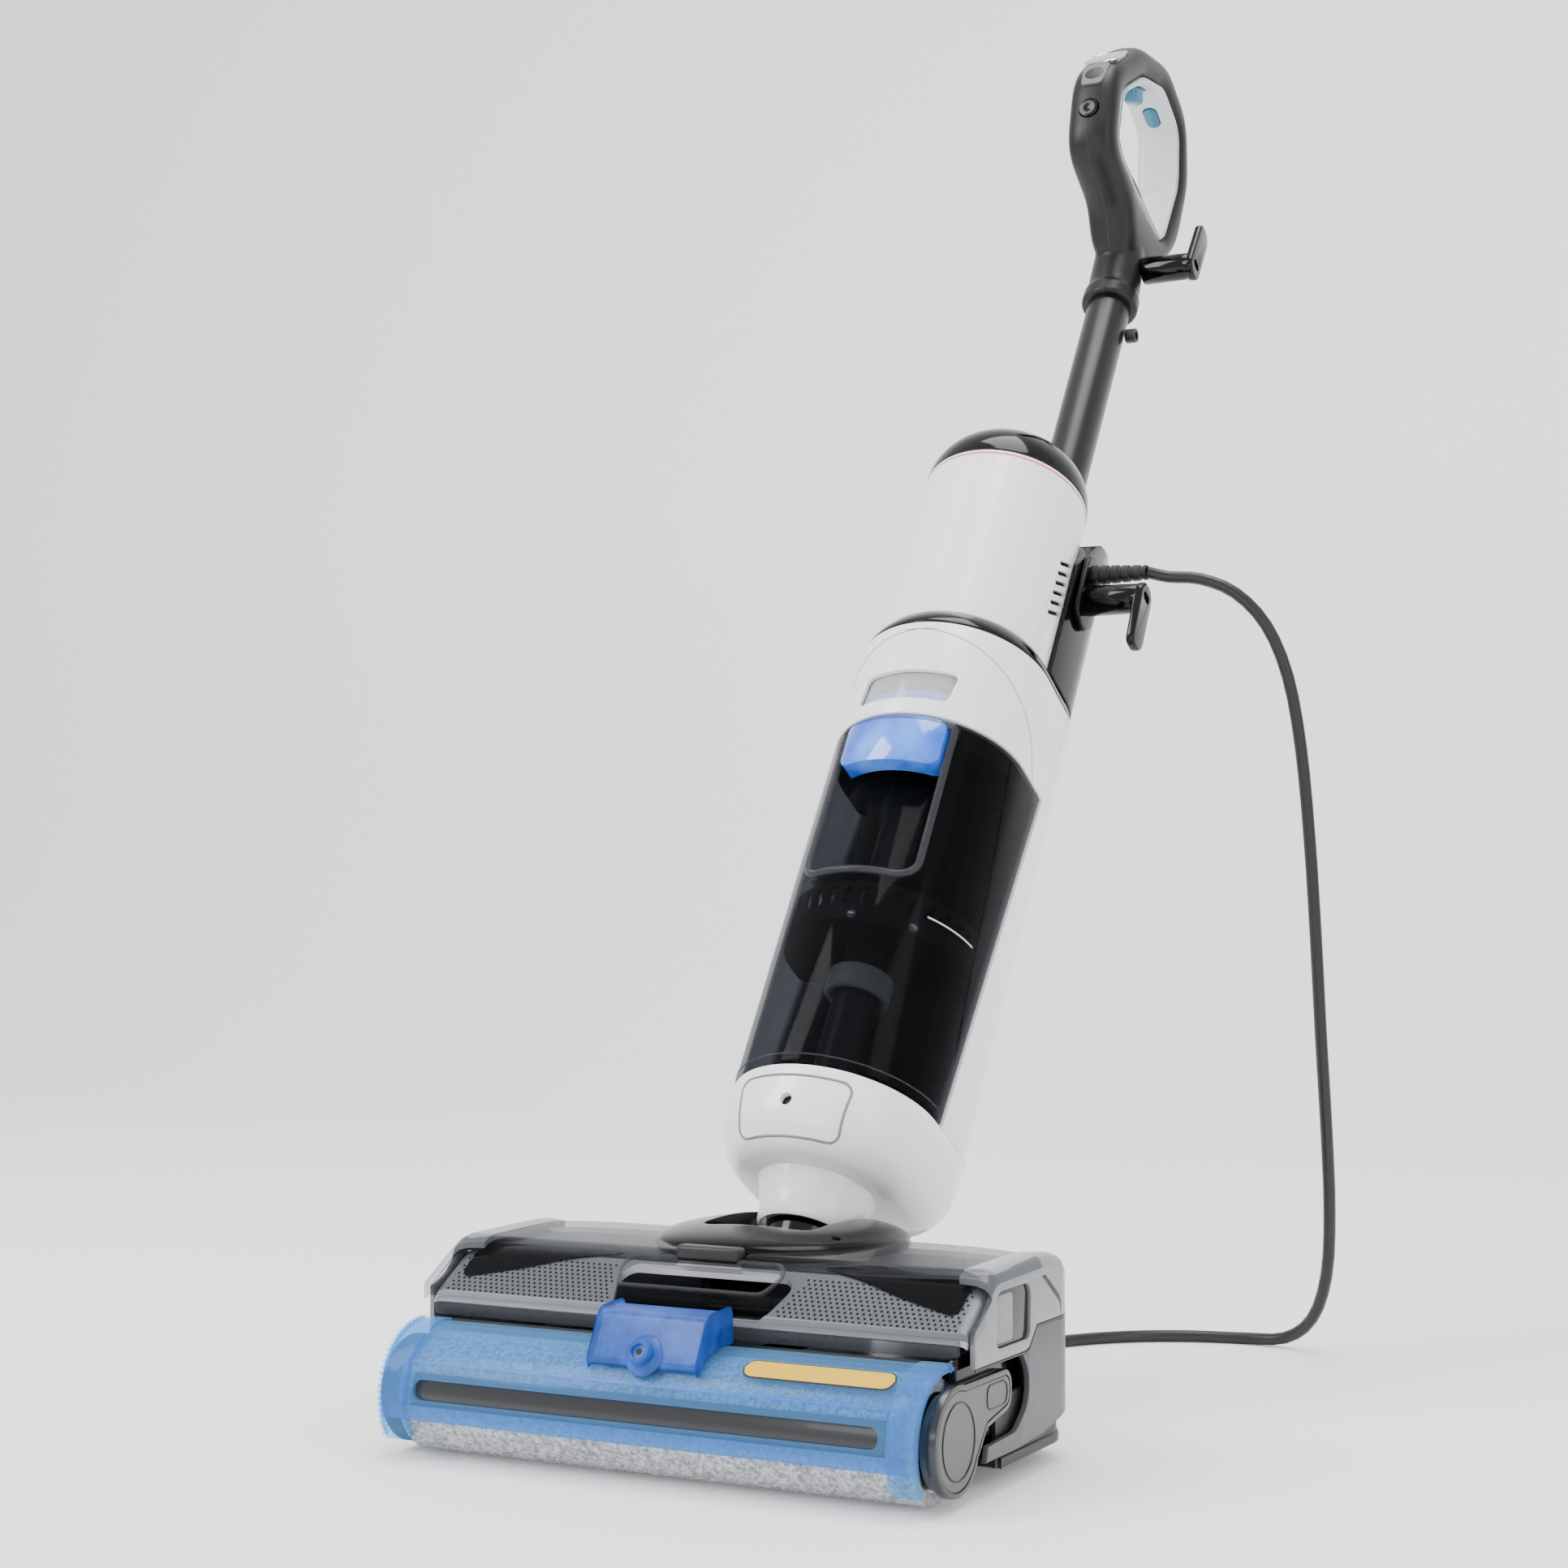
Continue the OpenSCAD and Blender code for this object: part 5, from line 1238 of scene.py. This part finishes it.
TRIM_LOW = [(15, 56.6), (74, 56.6), (84, 66.6), (160, 66.6)]
TRIM_TOP = [(15, 73.5), (26, 78), (34, 85.5), (42, 91.2), (80, 91.5), (112, 91), (126, 86), (140, 78),
            (160, 73)]
trims = placed("side_trim_walls", *wall(0, 2.4, 15, lambda y: between(y, TRIM_TOP),
                                        lambda y: between(y, TRIM_LOW)),
               "light_grey_abs", ROLLER, "head", ["side_trims"])
window = rounded([(38, 62, 4), (76, 62, 4), (77, 87, 6), (38, 87, 6)], 8)
carved(trims, [slab(window, 100, 200, 0.2, "x"), slab(window, -200, -100, 0.2, "x")], ROLLER, bevel=0.3,
       crease=50)
for hand, label in SIDES:
    inner_w = rounded([(38.4, 62.4, 4), (75.6, 62.4, 4), (76.6, 86.6, 6), (38.4, 86.6, 6)], 8)
    x0, x1 = sorted((hand * (HEAD_HALF - 2.6), hand * (HEAD_HALF - 1.2)))
    placed("window_back_" + label, *slab(inner_w, x0, x1, 0.3, "x"), "gloss_black", ROLLER, "head")
    card = rounded([(40, 64, 2.5), (58, 64, 2.5), (58, 85, 2.5), (40, 85, 4.5)], 6)
    x0, x1 = sorted((hand * (HEAD_HALF - 1.4), hand * (HEAD_HALF - 0.9)))
    placed("window_card_" + label, *slab(card, x0, x1, 0.1, "x"), "card_grey", ROLLER, "head")
    rings = []
    for x in (HEAD_HALF - 17, HEAD_HALF - 12, HEAD_HALF - 8, HEAD_HALF - 4.5, HEAD_HALF - 2.2, HEAD_HALF
              - 0.7,
              HEAD_HALF + 0.1):
        over = max(x - (HEAD_HALF - 8), 0) / 8.1
        down = 6.5 * (1 - math.sqrt(max(1 - over * over, 0))) + 0.05 * (HEAD_HALF - x)
        near = (x - HEAD_HALF + 17) / 17.1
        ys = np.linspace(33 + 3 * (1 - near), 116 - 8 * (1 - near), 40)
        stretch = (back_at(min(x, HEAD_HALF - 0.01)) - 60) / (HEAD_BACK - 60)
        upper, lower = [], []
        for y in ys:
            ends_ = min(1, (y - ys[0]) / 9, (ys[-1] - y) / 22)
            z = over_side(60 + (y - 60) * min(1, 1 / stretch)
                          if y > 60 else y) + 1.2 * math.sin(ends_ * math.pi / 2) - down
            upper.append((hand * x, y, z))
            lower.append((hand * x, y, z - 3.2))
        rings.append(upper + lower[::-1])
    placed("trim_shoulder_" + label, *skin(rings), "light_grey_abs", ROLLER, "head", bevel=0.4, crease=50)
SHELL_TOP = [(15, 56), (74, 56), (84, 66), (160, 66)]
SHELL_LOW = [(15, 15), (60, 15), (96, 17), (130, 24), (160, 31)]
lower = placed("lower_shell_walls", *wall(0, 2.6, 15, lambda y: between(y, SHELL_TOP),
                                          lambda y: between(y, SHELL_LOW)),
               "mid_grey_abs", ROLLER, "head", ["lower_shell"])
ROLLER_Z = ROLLER_R
pocket = rounded([(-20, 20, 3), (60, 23, 14), (84, 40, 16), (62, 61, 12), (-20, 60, 3)], 8)
carved(lower, [slab(pocket, 100, 200, 0.2, "x"), pipe([(100, 0, ROLLER_Z), (200, 0, ROLLER_Z)], 29.6, 96),
               block(-40, 40, 140, 200, 44, 90, 3)], ROLLER, bevel=0.35, crease=50)
dark_line = wall(-0.12, 0.6, 15, lambda y: between(y, SHELL_TOP) + 0.65, lambda y: between(y, SHELL_TOP)
                 - 0.1, 0.1)
placed("seam_line", *dark_line, "gloss_black", ROLLER, "head")
pocket_back = rounded([(8, 18, 3), (62, 21, 14), (86, 40, 16), (64, 63, 12), (8, 62, 3)], 8)
placed("pocket_liner", *slab(pocket_back, HEAD_HALF - 9.5, HEAD_HALF - 5.8, 0.6, "x"), "gloss_black",
       ROLLER, "head")
round_cover = [(0, -HEAD_HALF), (22.5, -HEAD_HALF), (24, -HEAD_HALF + 0.4), (25, -HEAD_HALF + 1.6),
               (25, -HEAD_HALF + 2.8),
               (0, -HEAD_HALF + 2.8)]
placed("drive_cover_disc", *turned(round_cover, 96, "x", (0, ROLLER_Z)), "dark_grey_abs", ROLLER, "head")
disc_seam = [(-HEAD_HALF - 0.1, 17 * math.cos(a), ROLLER_Z + 17 * math.sin(a))
             for a in np.linspace(0, 2 * math.pi, 64, endpoint=False)]
placed("drive_cover_ring", *pipe(disc_seam, 0.5, 8, closed=True), "gloss_black", ROLLER, "head")
print("walls ready")

# %% [markdown]
# Under the head lie the pan with its hinge towers and wheel forks, the curved bay behind the
# roller, the rubber wiper and the two rear wheels.

# %% Pan, bay, wheels
WHEEL_X, WHEEL_AT = 81, (139, 12)
pan_plan = [(x, max(y, 50)) for x, y in drawn_in(PLAN, 3.2)]
pan = placed("base_pan_plate", *slab(pan_plan, 8, 13, 1.2), "black_abs", ROLLER, "head", ["base_pan"])
wells = [block(hand * WHEEL_X - 8.5, hand * WHEEL_X + 8.5, 125, 153, 0, 30, 2) for hand, _ in SIDES]
carved(pan, wells, ROLLER)
towers = [block(hand * 36 - 6, hand * 36 + 6, 99, 123, 12.5, 74, 2) for hand, _ in SIDES]
forks = [block(hand * x - 3, hand * x + 3, 131, 147, 12.5, 22, 1) for hand, _ in SIDES for x in (70, 92)]
ribs = [block(x - 1, x + 1, 56, 120, 6.6, 8.4, 0.3) for x in (-110, -60, 0, 60, 110)]
placed("base_pan_towers", *joined(*towers, *forks, *ribs), "black_abs", ROLLER, "head")
# A black wall just inside the side walls: partly the pan's own black, partly painted shadow that fills the shaded
# gap under the side walls.
skirt_and_shadow = wall(4.2, 2.0, 46, lambda y: 40, lambda y: 9)
placed("base_pan_skirt", *skirt_and_shadow, "black_abs", ROLLER, "head")
bay_in = ROLLER_R + 2.6
bay = [(bay_in * math.cos(a), ROLLER_Z + bay_in * math.sin(a)) for a in np.radians(np.linspace(-18, 75, 40))]
bay += [((bay_in + 2.6) * math.cos(a), ROLLER_Z + (bay_in + 2.6) * math.sin(a))
        for a in np.radians(np.linspace(75, -18, 40))]
placed("roller_bay_wall", *slab(bay, -132.5, 132.5, 0.2, "x"), "black_abs", ROLLER, "head", ["roller_bay"])
placed("wiper_edge", *slab([(-1.6, 0.6), (-0.4, 0), (0.4, 0), (1.6, 0.6), (1.6, 9.4), (-1.6, 9.4)], -125,
                           125, 0.1, "x"),
       "rubber", Matrix.Identity(4), "head", ["wiper_blade"])
for hand, label in SIDES:
    tyre = [(5, -6.5), (10.8, -6.5), (12, -5.2), (12, -2), (11.6, -1.6), (11.6, 1.6), (12, 2), (12, 5.2),
            (10.8, 6.5), (5, 6.5)]
    middle = hand * WHEEL_X
    wheel = turned([(r, x + middle) for r, x in tyre], 64, "x", WHEEL_AT)
    hub_line = [(2.6, middle - 6), (5.2, middle - 6), (5.2, middle + 6), (2.6, middle + 6)]
    placed("wheel_tyre_" + label, *wheel, "rubber", ROLLER, "wheel_" + label, ["rear_wheel_" + label])
    placed("wheel_hub_" + label, *turned(hub_line, 32, "x", WHEEL_AT), "dark_grey_abs", ROLLER, "wheel_"
           + label)
print("pan and wheels ready")

# %% [markdown]
# The blue clear cover hugs the roller: an arc of shell with a long slot, a lip under the slot and
# thick end bands.  On it sit the steam outlet with its nozzle and a plain warning pill.

# %% Roller cover
COVER_R = span("roller_cover", ROLLER)[1][2] - ROLLER_Z
COVER_HALF = span("roller_cover", ROLLER)[1][0]


def arc_band(r0, r1, start, end, x0, x1, steps=48, edge=0.4):
    """A band of tube wall between two radii, two angles and two ends."""
    outline = [(r0 * math.cos(a), ROLLER_Z + r0 * math.sin(a))
               for a in np.radians(np.linspace(start, end, steps))]
    outline += [(r1 * math.cos(a), ROLLER_Z + r1 * math.sin(a))
                for a in np.radians(np.linspace(end, start, steps))]
    return slab(outline, x0, x1, edge, "x")


blue = placed("roller_cover_shell", *arc_band(COVER_R, COVER_R - 2, 77, 196, -COVER_HALF, COVER_HALF),
              "clear_blue",
              ROLLER, "cover", ["roller_cover"])
long_slot = slab(rounded([(-119, ROLLER_Z + 0.5, 4.4), (119, ROLLER_Z + 0.5, 4.4), (119, ROLLER_Z + 10, 4.4),
                          (-119, ROLLER_Z + 10, 4.4)]), -90, -20, 0.1, "y")
carved(blue, [long_slot], ROLLER, bevel=0.3, crease=50)
placed("slot_curtain", *arc_band(COVER_R - 2.3, COVER_R - 2.9, 155, 185, -121, 121, 16, 0.1), "dark_panel",
       ROLLER, "cover")
placed("cover_lip", *arc_band(COVER_R + 0.9, COVER_R - 0.2, 183, 195, -131, 131, 10, 0.4), "clear_blue",
       ROLLER, "cover")
placed("cover_ledge", *arc_band(COVER_R + 0.8, COVER_R - 0.2, 146, 149, -128, 128, 8, 0.3), "clear_blue",
       ROLLER, "cover")
for hand, label in SIDES:
    x0, x1 = sorted((hand * (COVER_HALF - 14), hand * COVER_HALF))
    placed("cover_band_" + label,
           *arc_band(COVER_R + 1.2, COVER_R - 3, 80, 215, x0, x1, 60, 1.0), "clear_blue", ROLLER, "cover")
teeth = [((-COVER_HALF + 0.4, (COVER_R - 0.6) * math.cos(a), ROLLER_Z + (COVER_R - 0.6) * math.sin(a)),
          (0, math.cos(a), math.sin(a))) for a in np.radians(np.arange(90, 214, 5))]
repeated("band_teeth", teeth, block(-1.2, 1.2, -0.9, 0.9, -0.4, 2.2, 0.3), "clear_blue", ROLLER, "cover")
profile = rounded([(-26, 51, 3), (-14, 74, 5), (5, 75, 2), (6, 62, 1), (-9, 51, 1)], 8)
box_piece = placed("steam_outlet", *slab(profile, -28, 28, 2.2, "x"), "blue_gloss", ROLLER, "cover",
                   ["steam_box"])
carved(box_piece, [pipe([(-60, 0, ROLLER_Z), (60, 0, ROLLER_Z)], COVER_R + 0.3, 128),
                   block(-90, 90, -2.6, 90, 0, COVER_R + ROLLER_Z + 0.2, 0.2)], ROLLER, bevel=0.4, crease=50)
nozzle_at = Matrix.Translation((0, -22.5 * MM, 57.05 * MM))
NOZZLE = ROLLER @ nozzle_at @ Matrix.Rotation(math.radians(62.5), 4, "X")
nozzle = [(1.5, 0), (9.5, 0), (9, 1), (7.4, 2), (6, 2.6), (5.6, 5.6), (5, 6.7), (4.2, 7), (3.4, 6.6),
          (3, 5.4), (1.5, 5.2)]
placed("steam_nozzle_cone", *turned(nozzle, 64), "blue_gloss", NOZZLE, "cover", ["steam_nozzle"])
# A black plug in the nozzle's hole: painted shade for the dark inside the bore.
placed("nozzle_bore", *pipe([(0, 0, 1), (0, 0, 5)], 1.6, 24), "hole_black", NOZZLE, "cover")


def pill_band(radius, thick, x0, x1, middle, half):
    """A pill-shaped patch on the round cover, from x0 to x1."""
    rings = []
    for x in np.linspace(x0, x1, 60):
        near = min(x - x0, x1 - x, half)
        h = math.sqrt(max(half ** 2 - (half - near) ** 2, 0.01))
        angles = [math.radians(middle + math.degrees(t * h / radius)) for t in np.linspace(-1, 1, 10)]
        rings.append([(x, radius * math.cos(a), ROLLER_Z + radius * math.sin(a)) for a in angles]
                     + [(x, (radius - thick) * math.cos(a), ROLLER_Z + (radius - thick) * math.sin(a))
                        for a in angles[::-1]])
    return skin(rings)


placed("warning_pill_border", *pill_band(COVER_R + 0.12, 0.3, 47, 121, 122, 5.6), "ink_black", ROLLER,
       "cover")
placed("warning_pill", *pill_band(COVER_R + 0.22, 0.3, 47.8, 120.2, 122, 4.9), "label_yellow", ROLLER,
       "cover")
print("cover radius", COVER_R)

# %% [markdown]
# The roller's plush is a sleeve with many thousands of small tufts, all instances of one
# four-sided tuft, leaning and sized by the seed.

# %% Roller
sleeve = [(21, -ROLLER_HALF + 0.4), (26.2, -ROLLER_HALF + 0.4), (26.9, -ROLLER_HALF + 1.4),
          (26.9, ROLLER_HALF - 1.4),
          (26.2, ROLLER_HALF - 0.4), (21, ROLLER_HALF - 0.4)]
placed("plush_sleeve", *turned(sleeve, 128, "x", (0, ROLLER_Z)), "plush", ROLLER, "roller", ["roller_pile"])
rng = np.random.default_rng(4)
tufts, columns, around = [], 175, 124
for i in range(columns):
    for k in range(around):
        x = -ROLLER_HALF + 1 + (2 * ROLLER_HALF - 2) * (i + rng.uniform(0.1, 0.9)) / columns
        a = 2 * math.pi * (k + 0.5 * (i % 2) + rng.uniform(-0.3, 0.3)) / around
        d = (rng.uniform(-0.55, 0.55), math.cos(a + rng.uniform(-0.5, 0.5)),
             math.sin(a + rng.uniform(-0.5, 0.5)))
        tufts.append(((x, (ROLLER_R - 1.3) * math.cos(a), ROLLER_Z + (ROLLER_R - 1.3) * math.sin(a)), d))
tuft = ([(0.85, 0, -0.5), (-0.42, 0.74, -0.5), (-0.42, -0.74, -0.5), (0, 0, 1.05)],
        [(0, 1, 3), (1, 2, 3), (2, 0, 3), (2, 1, 0)])
pile = repeated("plush_tufts", tufts, tuft, "plush", ROLLER, "roller", spread=0.18, seed=7)
core = [(18, -ROLLER_HALF + 0.2), (20.9, -ROLLER_HALF + 0.2), (20.9, ROLLER_HALF - 0.2),
        (18, ROLLER_HALF - 0.2)]
placed("roller_tube", *turned(core, 72, "x", (0, ROLLER_Z)), "aluminium", ROLLER, "roller", ["roller_core"])
print("tufts", len(tufts), "faces", len(pile.data.polygons))

# %% [markdown]
# The end cap: a dark ring and arm with a lighter inlaid face, a thin outline round it and a small
# latch at the end of the arm.

# %% End cap
CAP_X = span("end_cap", ROLLER)[1][0]


def cap_line(inset):
    """The cap's outline: a disc that runs out into an arm."""
    r, top_, low_ = 24 - inset, 52 - inset, 33 + inset
    cz, end = ROLLER_Z + 1, 58 - inset
    a0 = math.degrees(math.asin(min((top_ - cz) / r, 0.999)))
    a1 = -28
    disc = arc(0, cz, r, a0, 360 + a1, 64)
    corner = 8 - inset
    return disc + [(30, 29 + inset)] + arc(end - corner, low_ + corner, corner, -84, 0,
                                           10) + arc(end - corner, top_ - corner, corner, 0, 90, 10)


cap_rings = [[(x, y, z) for y, z in cap_line(i)] for x, i in ((CAP_X - 4.5, 0.5), (CAP_X - 4, 0),
                                                              (CAP_X - 0.9, 0), (CAP_X - 0.25, 0.3),
                                                              (CAP_X, 1))]
cap = placed("end_cap_shell", *skin(cap_rings), "dark_panel", ROLLER, "cap", ["end_cap"])
carved(cap, [skin([[(x, y, z) for y, z in cap_line(2.6)] for x in (CAP_X - 1.5, CAP_X + 3)])], ROLLER)
inlay = [[(x, y, z) for y, z in cap_line(i)] for x, i in ((CAP_X - 1.6, 3.0), (CAP_X - 0.3, 3.0),
                                                          (CAP_X - 0.05, 3.4))]
placed("end_cap_face", *skin(inlay), "mid_grey_abs", ROLLER, "cap", ["end_cap_inlay"])
face_seam = [(CAP_X - 0.05, y, z) for y, z in arc(0, ROLLER_Z + 1, 16.5, 0, 360, 73)[:-1]]
placed("end_cap_ring", *pipe(face_seam, 0.45, 8, closed=True), "gloss_black", ROLLER, "cap")
arm_seam = [(CAP_X - 0.05, y, z) for y,
            z in rounded([(30, 37, 4), (52, 37, 5), (52, 47.5, 5), (30, 47.5, 4)], 6)]
placed("end_cap_arm_line", *pipe(arm_seam, 0.4, 8, closed=True), "gloss_black", ROLLER, "cap")
spigot = [(0, CAP_X - 26), (5.9, CAP_X - 26), (5.9, CAP_X - 9), (20.4, CAP_X - 9), (20.4, CAP_X - 4.4),
          (0, CAP_X - 4.4)]
placed("end_cap_spigot", *turned(spigot, 64, "x", (0, ROLLER_Z)), "dark_grey_abs", ROLLER, "cap")
print("end cap at", CAP_X)

# %% [markdown]
# A pale floor, a plain pale backdrop and soft light from the left, the front and above.

# %% Stage and light
floor_mesh = bpy.data.meshes.new("floor")
sweep = [(-4, 0.0)] + [(1.6 + 0.9 * math.sin(t), 0.9 - 0.9 * math.cos(t))
                       for t in np.linspace(0, math.pi / 2, 24)]
sweep += [(2.5, 4.5)]
floor_mesh.from_pydata([(x, y, z) for y, z in sweep for x in (-6, 6)], [],
                       [(2 * i, 2 * i + 1, 2 * i + 3, 2 * i + 2) for i in range(len(sweep) - 1)])
floor_mesh.polygons.foreach_set("use_smooth", [True] * len(floor_mesh.polygons))
floor = bpy.data.objects.new("floor", floor_mesh)
bpy.context.scene.collection.objects.link(floor)
finish("floor_paper", "#fbfbfb", 0.7, specular=0.2)
paper = next(n for n in FINISHES["floor_paper"].node_tree.nodes if n.type == "BSDF_PRINCIPLED")
paper.inputs["Emission Color"].default_value = tone("#ffffff")
paper.inputs["Emission Strength"].default_value = 0.12
floor_mesh.materials.append(FINISHES["floor_paper"])
world = bpy.data.worlds.new("studio")
bpy.context.scene.world = world
world.use_nodes = True
background = next(n for n in world.node_tree.nodes if n.type == "BACKGROUND")
background.inputs["Color"].default_value = tone("#f4f5f7")
background.inputs["Strength"].default_value = 1.15


def softbox(name, place, aim, power, width, height):
    """A soft rectangular lamp in watts and metres, pointed at aim."""
    light = bpy.data.lights.new(name, "AREA")
    light.shape, light.size, light.size_y, light.energy = "RECTANGLE", width, height, power
    lamp = bpy.data.objects.new(name, light)
    lamp.location = place
    lamp.rotation_euler = (Vector(aim) - Vector(place)).to_track_quat("-Z", "Y").to_euler()
    bpy.context.scene.collection.objects.link(lamp)
    return lamp


softbox("key_light", (-1.6, -1.3, 2.0), (0, 0.1, 0.4), 55, 0.9, 1.8)
softbox("fill_light", (1.9, -0.6, 1.1), (0, 0.1, 0.4), 12, 0.7, 1.8)
softbox("top_light", (0.1, 0.3, 2.3), (0, 0.2, 0.3), 34, 1.4, 1.0)
softbox("front_strip", (0.1, -2.2, 0.7), (0, 0.0, 0.2), 8, 1.6, 0.35)
